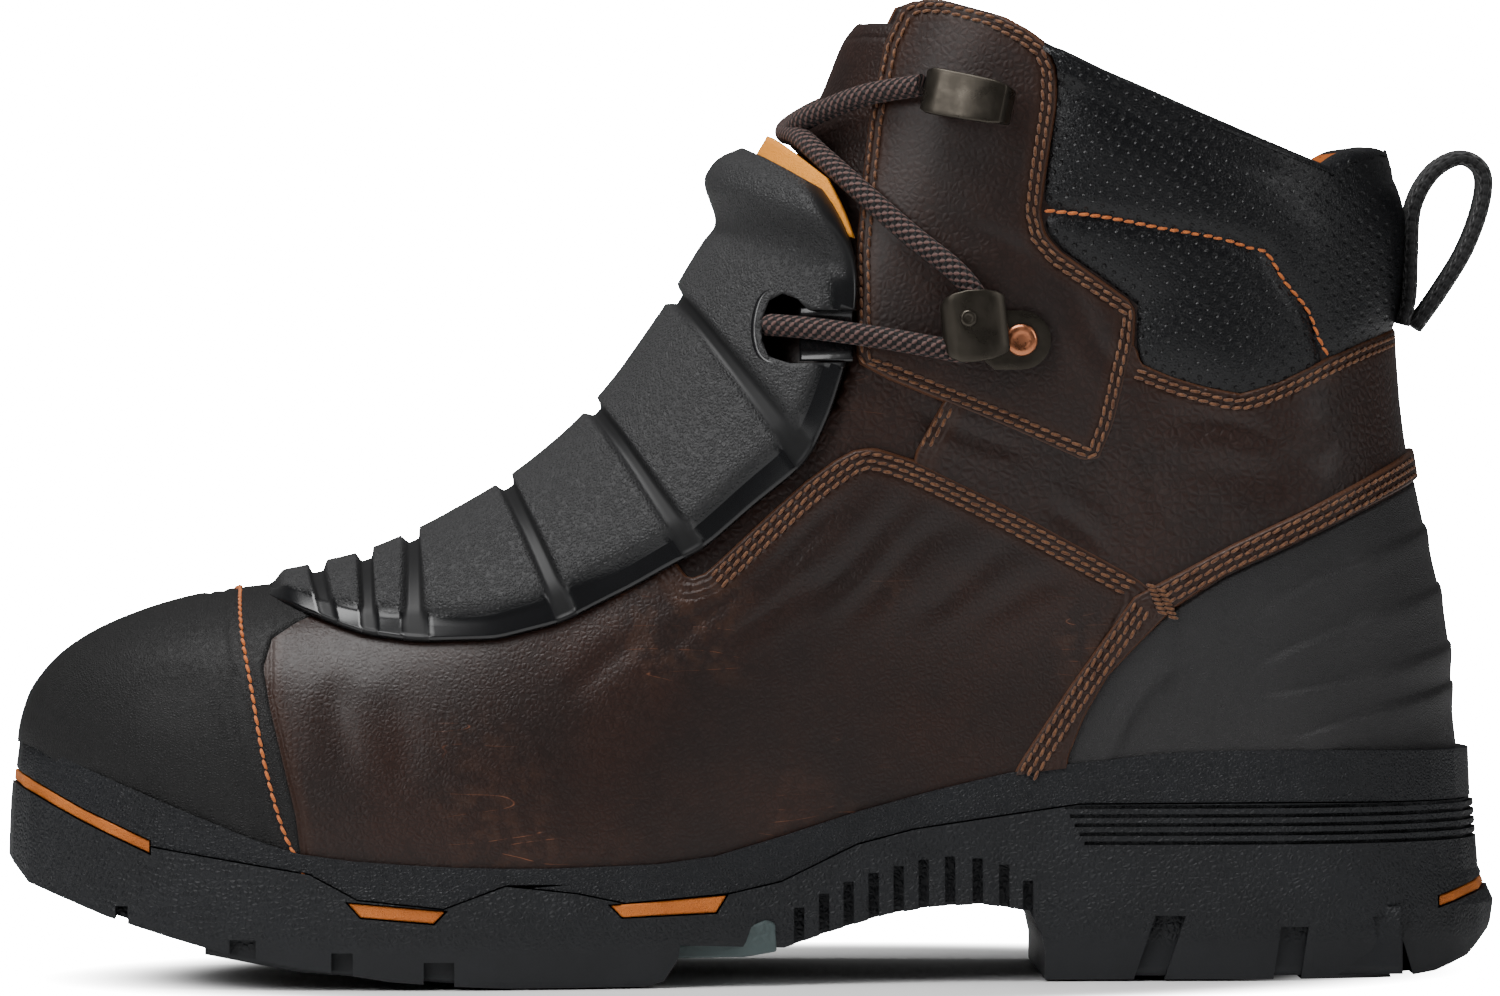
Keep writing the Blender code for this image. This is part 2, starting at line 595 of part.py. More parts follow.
# Heel counter
counter = shell("heel_counter", SECTIONS, COLUMNS, fixed(SEAT_GAP),
                fixed(SEAT_GAP + COUNTER_THICK), PARTS, span=(-22 * U, 18 * U))
paint(counter, (0.014, 0.014, 0.015), 0.5)
counter_side = scaled(COUNTER_EDGE) + [(160 * U, 30 * U)]
cut(counter, prism("counter_side", counter_side), "INTERSECT")
cut(counter, prism("below_counter", below(standing, SEAT_GAP, 0.03)))

# Facings, one on each side of the throat
SHAFT_SPAN = (-30 * U, 1.0)
for side, word in ((-1, "medial"), (1, "lateral")):
    facing = shell("facing_" + word, SECTIONS, COLUMNS, fixed(SEAT_GAP),
                   fixed(SEAT_GAP + FACING_THICK), PARTS, span=SHAFT_SPAN)
    paint(facing, (0.040, 0.023, 0.016), 0.5)
    low, high = sorted((side * WALL, side * CUT_REACH))
    cut(facing, prism("facing_side_" + word, scaled(FACING), low, high), "INTERSECT")

# Collar panel from one facing round the back to the other
collar = shell("collar_pad", SECTIONS, COLUMNS, fixed(SEAT_GAP), fixed(COLLAR_THICK), PARTS,
               span=SHAFT_SPAN)
paint(collar, (0.012, 0.012, 0.013), 0.75)
collar_side = [(x + SEAT_GAP, z) for x, z in scaled(FACING)[5:14]] + scaled(COLLAR_EDGE)[1:]
collar_side += scaled(COLLAR_LINE)[:7:-1]
cut(collar, prism("collar_side", collar_side), "INTERSECT")

# Tongue, inside the upper and rising in the throat
TONGUE_OUT = -(WALL + 0.0004)
TONGUE_REACH = COLUMNS[4]
tongue = shell("tongue", SECTIONS, COLUMNS, fixed(TONGUE_OUT - TONGUE_THICK), fixed(TONGUE_OUT),
               PARTS, span=(-26 * U, 1.0), reach=TONGUE_REACH)
paint(tongue, (0.013, 0.013, 0.014), 0.8)
tongue_top = [(-10 * U, 199.6 * U), (27 * U, 203.4 * U), (80 * U, 196 * U), (80 * U, 240 * U),
              (-10 * U, 240 * U)]
cut(tongue, prism("tongue_top", tongue_top))

# Insole on the sole, inside the upper
insole_rings = [plan_ring(-153.6 * U + WALL + INSOLE_EASE, 148.4 * U - WALL - INSOLE_EASE, z * U,
                          -UPPER_INSET - WALL - INSOLE_EASE / 2, 22) for z in (20, 60)]
insole = stack("insole", insole_rings, PARTS)
paint(insole, (0.05, 0.05, 0.055), 0.85)
insole_side = [(x, z + SEAT_GAP) for x, z in standing]
insole_side += [(x, z + SEAT_GAP + INSOLE_THICK) for x, z in reversed(standing)]
cut(insole, prism("insole_side", insole_side), "INTERSECT")

# Metatarsal guard
GUARD_SECTIONS = [(row[0] * U, ridge_height(row[0] * U), row[1] * U, row[2] * U)
                  for row in GUARD_ROWS]
GUARD_SHARES = [share ** 1.7 for share in GUARD_COLUMNS]


def guard_top(row, share):
    top = GUARD_ROWS[row][3] * U
    lip = row >= len(GUARD_ROWS) - 3
    if share > FLANGE_FROM ** 1.7 and not lip:
        top = min(top, GUARD_FLANGE)
    return top


def guard_under(row, share):
    return GUARD_ROWS[row][4] * U


guard = shell("met_guard", GUARD_SECTIONS, GUARD_SHARES, guard_under, guard_top, PARTS)
paint(guard, (0.010, 0.010, 0.011), 0.45)
cut(guard, prism("guard_slot", scaled(SLOT)))

# Lining that shows above the lip of the guard
LINING_ROWS = [(2.6, 22.6, 157.4), (5.2, 21.0, 162.2), (8.2, 18.6, 167.6)]
LINING_SECTIONS = [(row[0] * U, ridge_height(row[0] * U), row[1] * U, row[2] * U)
                   for row in LINING_ROWS]
LINING_TOP = 4.9 * U
LINING_THICK = 1.2 * U
lining = shell("guard_lining", LINING_SECTIONS, GUARD_SHARES, fixed(LINING_TOP - LINING_THICK),
               fixed(LINING_TOP), PARTS)
paint(lining, (0.62, 0.20, 0.04), 0.7)


def surface_frame(x, z, side):
    """Point of the last with the direction along it to the rear, its normal and its up."""
    step = 1.0 * U
    point = skin_point(x, z, side)
    along = (skin_point(x + step, z, side) - skin_point(x - step, z, side)).normalized()
    up = (skin_point(x, z + step, side) - skin_point(x, z - step, side)).normalized()
    normal = along.cross(up).normalized()
    if normal.y * side < 0:
        normal = -normal
    up = up - along * up.dot(along)
    return point, along, normal, up.normalized()


def bracket(name, place, profile, height, tilt, sink, colour):
    """A bent strip: its profile in the plane of the along and normal directions."""
    point, along, normal, up = place
    point = point - normal * sink
    turned = along * math.cos(tilt) + up * math.sin(tilt)
    across = up * math.cos(tilt) - along * math.sin(tilt)
    bm = bmesh.new()
    start = point - across * height / 2
    face = bm.faces.new([bm.verts.new(start + turned * a + normal * n) for a, n in profile])
    drawn = bmesh.ops.extrude_face_region(bm, geom=[face])["geom"]
    far = [item for item in drawn if isinstance(item, bmesh.types.BMVert)]
    bmesh.ops.translate(bm, verts=far, vec=across * height)
    thing = finish(name, bm, PARTS)
    paint(thing, colour, 0.35, 0.9)
    return thing


SEAT = FACING_THICK + 2 * SEAT_GAP
LACE_RISE = SEAT + HOOK_METAL + SEAT_GAP + LACE_RADIUS
HOOK_TOP = LACE_RISE + LACE_RADIUS + SEAT_GAP
MID_HOOK = (42.0, 140.2)
TOP_HOOK = (38.0, 188.2)
RIVET_BACK = 13.2
TOP_HOOK_SINK = 0.0007


def hook_profile(front, tab, reach):
    """C shape open to the rear, on a tab that runs back along the leather."""
    m = HOOK_METAL
    return [(front, SEAT), (front + tab, SEAT), (front + tab, SEAT + m), (front + m, SEAT + m),
            (front + m, HOOK_TOP), (front + reach, HOOK_TOP), (front + reach, HOOK_TOP + m),
            (front, HOOK_TOP + m)]


for side, word in ((-1, "medial"), (1, "lateral")):
    place = surface_frame(MID_HOOK[0] * U, MID_HOOK[1] * U, side)
    bracket("mid_hook_" + word, place, hook_profile(-1.0 * U, 19 * U, 9.5 * U), 7.4 * U, 0.0,
            0.0, (0.08, 0.07, 0.05))
    point, along, normal, up = place
    seat = SEAT + HOOK_METAL + SEAT_GAP
    middle = point + normal * (seat + RIVET_HEAD / 2) + along * RIVET_BACK * U
    turned = Matrix((along, normal.cross(along), normal)).transposed().to_4x4()
    rivet = bmesh.new()
    bmesh.ops.create_cone(rivet, cap_ends=True, segments=14, radius1=RIVET_RADIUS,
                          radius2=0.75 * RIVET_RADIUS, depth=RIVET_HEAD,
                          matrix=Matrix.Translation(middle) @ turned)
    thing = rounded_shading(finish("rivet_" + word, rivet, PARTS))
    paint(thing, (0.45, 0.20, 0.11), 0.35, 1.0)
    place = surface_frame(TOP_HOOK[0] * U, TOP_HOOK[1] * U, side)
    bracket("top_hook_" + word, place, hook_profile(-1.0 * U, 17 * U, 15.5 * U), 9.0 * U, -0.12,
            TOP_HOOK_SINK, (0.05, 0.05, 0.05))

# Lace: along, height, rise above the last; the strand starts in the slot, goes round the mid
# hook, crosses in front of the tongue and ends before the top hook of the other side
LOWER_STRAND = [(8.0, 136.4, 5.6), (16.0, 136.0, 5.6), (28.0, 134.8, 5.5), (38.0, 133.4, 5.7),
                (44.4, 132.6, 5.7), (47.2, 136.0, 5.7), (47.0, 142.6, 5.7), (43.0, 148.8, 5.4),
                (34.0, 156.5, 4.6), (25.0, 165.0, 4.3), (17.0, 172.6, 3.2), (12.4, 176.8, 2.0)]
UPPER_STRAND = [(12.6, 180.4, 2.0), (18.5, 183.4, 2.7), (26.0, 186.0, 4.2), (34.6, 188.4, 5.1)]
CROSSING = (8.4, 178.6)


def cord(name, path, target):
    """A round strand along a path, closed at both ends."""
    curve = bpy.data.curves.new(name + "_path", "CURVE")
    curve.dimensions = "3D"
    curve.bevel_depth = LACE_RADIUS
    curve.bevel_resolution = 2
    curve.use_fill_caps = True
    spline = curve.splines.new("POLY")
    spline.points.add(len(path) - 1)
    for place, point in zip(spline.points, path):
        place.co = (*point, 1.0)
    guide = bpy.data.objects.new(name + "_path", curve)
    CUTTERS.objects.link(guide)
    bpy.context.view_layer.update()
    bm = bmesh.new()
    mesh = bpy.data.meshes.new_from_object(guide)
    bm.from_mesh(mesh)
    bpy.data.objects.remove(guide)
    bpy.data.meshes.remove(mesh)
    return rounded_shading(finish(name, bm, target))


def strand_path(side):
    path = []
    for x, z, rise in LOWER_STRAND:
        point, along, normal, up = surface_frame(x * U, z * U, side)
        path.append(point + normal * rise * U)
    path.append(Vector((CROSSING[0] * U, 0.0, CROSSING[1] * U)))
    for x, z, rise in UPPER_STRAND:
        point, along, normal, up = surface_frame(x * U, z * U, -side)
        path.append(point + normal * rise * U)
    return path


lace = cord("lace", strand_path(-1), PARTS)
paint(lace, (0.020, 0.017, 0.016), 0.8)
cut(lace, cord("lace_second_strand", strand_path(1), CUTTERS), "UNION")

# Pull loop behind the collar
LOOP_PATH = [(141.0, 138.6), (140.9, 150.0), (141.4, 162.0), (145.6, 169.4), (151.6, 172.4),
             (156.0, 169.6), (156.0, 163.0), (152.4, 153.0), (146.6, 143.6)]
loop_line = smooth(scaled(LOOP_PATH), 2)
outer_line = []
inner_line = []
for k, (x, z) in enumerate(loop_line):
    ahead = loop_line[min(k + 1, len(loop_line) - 1)]
    behind = loop_line[max(k - 1, 0)]
    dx, dz = ahead[0] - behind[0], ahead[1] - behind[1]
    size = math.hypot(dx, dz)
    shift = LOOP_THICK / 2
    outer_line.append((x - dz / size * shift, z + dx / size * shift))
    inner_line.append((x + dz / size * shift, z - dx / size * shift))
loop_bm = bmesh.new()
tail = [(139.7 * U, 136.0 * U), (145.0 * U, 137.6 * U)]
LOOP_OUTLINE = outer_line + [(147.4 * U, 140.4 * U)] + [tail[1]] + [tail[0]]
add_prism(loop_bm, LOOP_OUTLINE, -LOOP_HALF_WIDTH, LOOP_HALF_WIDTH)
loop = finish("pull_loop", loop_bm, PARTS)
paint(loop, (0.016, 0.016, 0.017), 0.8)
hole_line = inner_line[2:-1]
cut(loop, prism("loop_hole", hole_line, -0.05, 0.05))
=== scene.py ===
import math

import bmesh
import bpy
import numpy as np
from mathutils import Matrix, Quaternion, Vector


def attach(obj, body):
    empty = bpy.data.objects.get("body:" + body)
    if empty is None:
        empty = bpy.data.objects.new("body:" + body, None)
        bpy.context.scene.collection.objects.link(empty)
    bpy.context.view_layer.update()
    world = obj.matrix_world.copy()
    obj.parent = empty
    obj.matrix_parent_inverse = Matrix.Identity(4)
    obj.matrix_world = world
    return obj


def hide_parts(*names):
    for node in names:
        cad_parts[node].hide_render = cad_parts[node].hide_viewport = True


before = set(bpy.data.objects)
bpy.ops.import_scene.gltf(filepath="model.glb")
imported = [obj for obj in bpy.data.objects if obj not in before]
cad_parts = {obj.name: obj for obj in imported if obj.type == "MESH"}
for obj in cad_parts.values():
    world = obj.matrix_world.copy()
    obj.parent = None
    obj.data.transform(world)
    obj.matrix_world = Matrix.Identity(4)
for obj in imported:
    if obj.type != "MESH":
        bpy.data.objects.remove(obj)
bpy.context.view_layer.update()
bpy.ops.object.select_all(action="DESELECT")

# Camera and studio
# A long, nearly level lens looks at the inner side of the boot from slightly towards the toe.
# Three broad lights and a white room stand round a pale floor.
AIM = Vector((-0.0012, -0.045, 0.1021))
CAMERA_DISTANCE = 3.00
CAMERA_AZIMUTH = math.radians(-1.5)
CAMERA_HEIGHT = math.radians(1.6)
CAMERA_ROLL = math.radians(-0.3)
camera_data = bpy.data.cameras.new("camera")
camera_data.lens = 343.5
camera = bpy.data.objects.new("camera", camera_data)
bpy.context.scene.collection.objects.link(camera)
back = Vector((math.sin(CAMERA_AZIMUTH) * math.cos(CAMERA_HEIGHT),
               -math.cos(CAMERA_AZIMUTH) * math.cos(CAMERA_HEIGHT), math.sin(CAMERA_HEIGHT)))
camera.location = AIM + back * CAMERA_DISTANCE
camera.rotation_mode = "QUATERNION"
camera.rotation_quaternion = (-back).to_track_quat("-Z", "Y") @ Quaternion((0, 0, 1), CAMERA_ROLL)
bpy.context.scene.camera = camera

ROOM_LIGHT, BACKDROP = 0.12, 40.0


def add(tree, kind, sockets=(), **settings):
    """A shader node with its settings, its constants and the sockets that feed it."""
    made = tree.nodes.new(kind)
    for label, value in settings.items():
        setattr(made, label, value)
    for key, value in sockets:
        if isinstance(value, bpy.types.NodeSocket):
            tree.links.new(value, made.inputs[key])
        else:
            made.inputs[key].default_value = value
    return made


def math_node(tree, operation, *values):
    made = add(tree, "ShaderNodeMath", list(enumerate(values)), operation=operation)
    return made.outputs[0]


def span(tree, value, low, high, to_low=0.0, to_high=1.0):
    """A value eased from one range into another."""
    sockets = [("Value", value), ("From Min", low), ("From Max", high), ("To Min", to_low),
               ("To Max", to_high)]
    return add(tree, "ShaderNodeMapRange", sockets, interpolation_type="SMOOTHSTEP").outputs[0]


world = bpy.data.worlds.new("studio")
world.use_nodes = True
studio = world.node_tree
seen = add(studio, "ShaderNodeLightPath").outputs["Is Camera Ray"]
studio.links.new(span(studio, seen, 0.0, 1.0, ROOM_LIGHT, BACKDROP),
                 studio.nodes["Background"].inputs["Strength"])
studio.nodes["Background"].inputs["Color"].default_value = (1.0, 1.0, 1.0, 1.0)
bpy.context.scene.world = world


def panel_light(name, place, size, power, aim=(0.0, 0.0, 0.1)):
    data = bpy.data.lights.new(name, "AREA")
    data.shape = "RECTANGLE"
    data.size, data.size_y = size
    data.energy = power
    lamp = bpy.data.objects.new(name, data)
    lamp.location = place
    lamp.rotation_euler = (Vector(aim) - Vector(place)).to_track_quat("-Z", "Y").to_euler()
    bpy.context.scene.collection.objects.link(lamp)


panel_light("overhead", (-0.25, -0.20, 1.05), (0.7, 0.6), 14.0)
panel_light("front_left", (-0.95, -0.95, 0.75), (0.5, 0.7), 7.5)
panel_light("rear_right", (1.00, -0.55, 0.60), (0.35, 0.8), 3.0)

bpy.ops.mesh.primitive_plane_add(size=6.0, location=(0.0, 0.0, -0.0004))
floor = bpy.context.object
floor.name = "floor"
floor_finish = bpy.data.materials.new("pale_floor")
floor_finish.use_nodes = True
floor_nodes = floor_finish.node_tree
floor_surface = floor_nodes.nodes["Principled BSDF"]
floor_surface.inputs["Base Color"].default_value = (0.92, 0.92, 0.92, 1.0)
floor_surface.inputs["Roughness"].default_value = 0.6
floor_surface.inputs["Emission Color"].default_value = (1.0, 1.0, 1.0, 1.0)
# Painted shadow: the floor glows white for the camera only outside an ellipse round the boot. The share
# of glow it keeps, clear, falls to nothing inside the ellipse, so the floor darkens under and around
# the boot.
PAINTED_SHADOW_ELLIPSE = (1 / 0.178, 1 / 0.135, 0.0)
floor_place = add(floor_nodes, "ShaderNodeTexCoord").outputs["Object"]
painted_shadow_place = add(floor_nodes, "ShaderNodeVectorMath", [(0, floor_place), (1, PAINTED_SHADOW_ELLIPSE)],
                operation="MULTIPLY").outputs[0]
reach = add(floor_nodes, "ShaderNodeVectorMath", [(0, painted_shadow_place)], operation="LENGTH")
clear = math_node(floor_nodes, "POWER", span(floor_nodes, reach.outputs["Value"], 0.55, 1.0), 3.0)
floor_seen = add(floor_nodes, "ShaderNodeLightPath").outputs["Is Camera Ray"]
glow = math_node(floor_nodes, "MULTIPLY", floor_seen, BACKDROP)
floor_nodes.links.new(math_node(floor_nodes, "MULTIPLY", clear, glow),
                      floor_surface.inputs["Emission Strength"])
floor.data.materials.append(floor_finish)

# The last
# The boot is built over one last. Its side view is bounded by the ridge over the instep, the
# line where the upper stands on the sole, and the back line. Lengths are millimetres here.
MM = 0.001
RIDGE = [(-153.6, 40.0), (-153.5, 51.0), (-152.4, 56.7), (-150.2, 61.4), (-146.8, 65.6),
         (-142.4, 69.2), (-135.6, 73.0), (-126.0, 76.6), (-115.5, 79.2), (-104.0, 80.6),
         (-90.0, 82.0), (-76.0, 85.2), (-57.0, 94.0), (-38.0, 107.0), (-24.0, 121.5),
         (-13.5, 136.0), (-4.0, 151.0), (2.0, 162.0), (7.3, 173.0), (11.0, 182.6), (14.2, 189.5),
         (17.0, 196.5), (19.5, 202.0), (23.5, 211.0)]
FEATHER = [(-170, 51.8), (-155.7, 51.5), (-149.7, 50.2), (-143.8, 46.9), (-129, 40.7), (-114, 34.5),
           (-96, 28.2), (-74, 25.9), (-53, 25.1), (-32, 25.3), (-9, 27.0), (20.7, 35.7),
           (53, 43.6), (75, 46.3), (93, 48.0), (125, 48.0), (151.4, 47.2), (170, 47.0)]
BACK = [(36, 148.6), (45, 148.4), (57, 147.2), (68, 146.8), (79, 145.0), (90, 142.4),
        (102, 139.8), (109, 138.6), (116, 137.6), (123, 136.9), (135, 136.2), (150, 136.4),
        (161, 136.0), (170, 134.0), (182, 130.5)]
PLAN = [(-158, -5.0, 38.0), (-148, -4.0, 40.0), (-133, -3.0, 44.3), (-111, -2.0, 47.5),
        (-79, -1.5, 52.5), (-54, -0.5, 55.5), (-25, 1.5, 54.5), (6, 4.0, 48.5), (38, 4.5, 43.0),
        (70, 2.5, 41.0), (101, 0.5, 41.5), (126, 0.0, 40.5), (158, 0.0, 38.5)]
FAN = [(-153.50, 51.0, -153.6, 41.0), (-152.6, 56.0, -152.4, 41.5), (-150.2, 61.4, -148.5, 41.0),
       (-144.5, 67.6, -140.5, 37.5), (-135.6, 73.0, -131.0, 34.0), (-121.0, 77.9, -117.0, 28.0),
       (-104.0, 80.6, -100.0, 22.0), (-84.0, 83.2, -78.0, 19.0), (-62.0, 91.4, -52.0, 18.0),
       (-43.0, 103.3, -22.0, 18.5), (-27.0, 118.1, 12.0, 25.0), (-14.5, 134.6, 50.0, 35.0),
       (-5.5, 148.6, 88.0, 40.0), (0.0, 158.2, 118.0, 40.5), (2.3, 162.6, 130.0, 40.5),
       (4.4, 167.0, 138.5, 40.4), (6.2, 170.6, 144.5, 40.2), (7.6, 173.8, 147.4, 40.0),
       (9.2, 177.8, 148.5, 41.0), (11.4, 183.5, 147.2, 57.0),
       (13.4, 187.8, 145.6, 76.0), (15.4, 192.4, 142.0, 92.0), (17.2, 197.0, 138.6, 109.0),
       (18.8, 200.5, 136.6, 128.0), (20.6, 204.3, 136.4, 148.0), (22.2, 208.0, 134.2, 169.0),
       (23.5, 211.0, 130.9, 181.0)]
UPPER_INSET, SHAFT_HALF, TOE_ROUND = 4.5, 39.5, 63.0


def smooth(table, steps):
    """A smooth line through every row of a table."""
    rows = [np.array(row, dtype=float) for row in table]
    rows = [2 * rows[0] - rows[1]] + rows + [2 * rows[-1] - rows[-2]]
    line = []
    for k in range(1, len(rows) - 2):
        a, b, c, d = rows[k - 1:k + 3]
        for step in range(steps):
            t = step / steps
            line.append(0.5 * (2 * b + (c - a) * t + (2 * a - 5 * b + 4 * c - d) * t ** 2
                               + (3 * b - a - 3 * c + d) * t ** 3))
    line.append(rows[-2])
    return np.array(line)


RIDGE_LINE, FEATHER_LINE, BACK_LINE = smooth(RIDGE, 24), smooth(FEATHER, 20), smooth(BACK, 20)
PLAN_LINE = smooth(PLAN, 20)


def rounded(share, power):
    return (1.0 - (1.0 - np.clip(share, 0.0, 1.0)) ** power) ** (1.0 / power)


def ease(share):
    share = np.clip(share, 0.0, 1.0)
    return share * share * (3.0 - 2.0 * share)


def feather(x):
    return np.interp(x, FEATHER_LINE[:, 0], FEATHER_LINE[:, 1])


def middle_line(x, z):
    return np.interp(x, PLAN_LINE[:, 0], PLAN_LINE[:, 1]) * (1.0 - ease((z - 60.0) / 80.0))


def last_half(x, z):
    """Half width of the last under points of its side view."""
    foot = np.interp(x, PLAN_LINE[:, 0], PLAN_LINE[:, 2]) - UPPER_INSET
    half = foot + (SHAFT_HALF - foot) * ease((z - 60.0) / 75.0) * ease((x + 60.0) / 80.0)
    base = feather(x)
    top = np.maximum(np.interp(x, RIDGE_LINE[:, 0], RIDGE_LINE[:, 1]), base + 0.001)
    arch = 2.7 - 0.6 * ease((x + 120.0) / 100.0)
    over = np.clip((z - base) / (top - base), 0.0, 1.0)
    crown = (1.0 - over ** arch) ** (1.0 / arch)
    front = rounded((x - np.interp(z, RIDGE_LINE[:, 1], RIDGE_LINE[:, 0])) / 56.0, 2.0)
    turn = ease((x + 35.0) / 55.0)
    half = half * (crown * (1.0 - turn) + front * turn) * rounded((x + 153.6) / TOE_ROUND, 2.2)
    rear = 40.0 + 10.0 * ease((z - 100.0) / 60.0)
    return half * rounded((np.interp(z, BACK_LINE[:, 0], BACK_LINE[:, 1]) - x) / rear, 2.15)


def on_last(x, z, side, rise=0.0, closed=None):
    """Points of the last with their outward normals; closed points lie on the middle line."""
    x, z = np.asarray(x, dtype=float), np.asarray(z, dtype=float)
    step = 0.4
    half = last_half(x, z)
    tilt_x = (last_half(x + step, z) - last_half(x - step, z)) / (2 * step)
    tilt_z = (last_half(x, z + step) - last_half(x, z - step)) / (2 * step)
    normal = np.stack([-tilt_x, np.broadcast_to(side, x.shape).astype(float), -tilt_z], -1)
    if closed is not None:
        half = np.where(closed, 0.0, half)
        normal[..., 1] = np.where(closed, 0.0, normal[..., 1])
        ahead = closed & (x < 60.0)
        normal[..., 0] = np.where(ahead, -np.abs(normal[..., 0]) - 1e-3, normal[..., 0])
        normal[..., 2] = np.where(ahead & (z > 60.0), np.abs(normal[..., 2]), normal[..., 2])
    normal /= np.maximum(np.linalg.norm(normal, axis=-1, keepdims=True), 1e-9)
    place = np.stack([x, middle_line(x, z) + side * half, z], -1)
    return (place + normal * np.asarray(rise)[..., None]) * MM, normal


SECTION_STEPS, COLUMN_COUNT = 9, 100
SECTIONS = smooth(FAN, SECTION_STEPS)
for section in SECTIONS:
    if section[3] > 43.4 and section[2] > 100:
        section[2] = np.interp(section[3], BACK_LINE[:, 0], BACK_LINE[:, 1])
SHARES = 0.5 - 0.5 * np.cos(np.linspace(0.0, math.pi, COLUMN_COUNT + 1))


def hull_grid():
    """Side-view places, sides and closed points of the whole last, section by section."""
    share = np.concatenate([SHARES[::-1], SHARES[1:]])
    side = np.concatenate([-np.ones(COLUMN_COUNT + 1), np.ones(COLUMN_COUNT)])
    x = SECTIONS[:, None, 0] + (SECTIONS[:, None, 2] - SECTIONS[:, None, 0]) * share
    z = SECTIONS[:, None, 1] + (SECTIONS[:, None, 3] - SECTIONS[:, None, 1]) * share
    rear = np.interp(SECTIONS[:, 3], BACK_LINE[:, 0], BACK_LINE[:, 1]) - SECTIONS[:, 2] < 0.02
    closed = (share[None, :] == 0.0) | ((share[None, :] == 1.0) & rear[:, None])
    closed[0, :] = True
    return x, z, np.broadcast_to(side, x.shape), closed


GRID_X, GRID_Z, GRID_SIDE, GRID_CLOSED = hull_grid()
GRID_PLACE = on_last(GRID_X, GRID_Z, GRID_SIDE, 0.0, GRID_CLOSED)[0]


def to_segment(x, z, start, end):
    """Share along a segment of its point nearest to each place, and the distance to it."""
    run_x, run_z = end[0] - start[0], end[1] - start[1]
    length = max(run_x ** 2 + run_z ** 2, 1e-12)
    t = np.clip(((x - start[0]) * run_x + (z - start[1]) * run_z) / length, 0.0, 1.0)
    return t, np.hypot(x - start[0] - t * run_x, z - start[1] - t * run_z)


def depth_inside(outline, x, z):
    """Distance in the side view to a closed outline, positive inside it."""
    points = np.asarray(outline, dtype=float)
    best = np.full(x.shape, 1e9)
    inside = np.zeros(x.shape, dtype=bool)
    for start, end in zip(points, np.roll(points, -1, axis=0)):
        best = np.minimum(best, to_segment(x, z, start, end)[1])
        (ax, az), (bx, bz) = start, end
        slope = ax + (z - az) * (bx - ax) / (bz - az if abs(bz - az) > 1e-12 else 1e-12)
        inside ^= ((az > z) != (bz > z)) & (x < slope)
    return np.where(inside, best, -best)


def score(bm, layer, level):
    """Cuts the faces along a level of a vertex value, so that an edge lies on it."""
    cuts = set()
    for edge in list(bm.edges):
        a, b = edge.verts
        low, high = a[layer] - level, b[layer] - level
        if low * high < 0.0 and min(abs(low), abs(high)) > 1e-4:
            made, vertex = bmesh.utils.edge_split(edge, a, low / (low - high))
            vertex[layer] = level
            cuts.add(vertex)
        elif abs(low) <= 1e-4:
            cuts.add(a)
        elif abs(high) <= 1e-4:
            cuts.add(b)
    for face in list(bm.faces):
        ends = [v for v in face.verts if v in cuts]
        if len(ends) == 2 and not any(e.other_vert(ends[0]) == ends[1] for e in ends[0].link_edges):
            bmesh.utils.face_split(face, ends[0], ends[1])


# Soft wear creases of the leather: both ends in the side view, bow, width, depth
CREASES = [((2, 82), (21, 103), 1.5, 2.0, 0.50), ((9, 78), (33, 103), -1.5, 2.4, 0.65),
           ((19, 74), (43, 99), 2.0, 2.6, 0.55), ((33, 75), (55, 95), -1.0, 2.2, 0.40),
           ((-22, 66), (1, 84), 2.0, 2.2, 0.35), ((-40, 58), (-20, 74), 2.0, 2.6, 0.30),
           ((47, 74), (66, 86), 1.5, 2.4, 0.30), ((-8, 72), (14, 88), -2.0, 2.0, 0.30),
           ((60, 100), (74, 90), 1.0, 2.2, 0.40), ((84, 116), (112, 112), 3.0, 2.6, 0.50),
           ((92, 106), (126, 115), -3.0, 3.0, 0.45), ((96, 98), (120, 104), 2.0, 2.4, 0.35),
           ((83, 96), (90, 122), 2.0, 2.4, 0.40), ((66, 150), (77, 126), -1.5, 2.4, 0.35),
           ((40, 158), (60, 150), 2.0, 2.6, 0.30), ((30, 122), (60, 111), -1.5, 1.8, 0.30),
           ((-84, 44), (-88, 66), 2.0, 3.2, 0.35), ((-74, 40), (-78, 62), -2.0, 3.4, 0.25)]


def creases(x, z, side):
    """Depth of the wear creases; the lateral side carries them a little further back."""
    x = x - np.where(np.asarray(side) > 0, 3.5, 0.0)
    total = np.zeros(np.shape(x))
    for (ax, az), (bx, bz), bow, width, depth in CREASES:
        dx, dz = bx - ax, bz - az
        length = math.hypot(dx, dz)
        along = ((x - ax) * dx + (z - az) * dz) / length
        share = along / length
        off = ((z - az) * dx - (x - ax) * dz) / length - bow * np.sin(np.pi * np.clip(share, 0, 1))
        fade = ease(share / 0.3) * ease((1.0 - share) / 0.3)
        total += fade * 1.6 * depth * (-np.exp(-(off / width) ** 2 * 2.2)
                                 + 0.45 * np.exp(-((off - 1.9 * width) / width) ** 2)
                                 + 0.45 * np.exp(-((off + 1.9 * width) / width) ** 2))
    return total


def placed(name, mesh):
    thing = bpy.data.objects.new(name, mesh)
    bpy.context.scene.collection.objects.link(thing)
    return thing


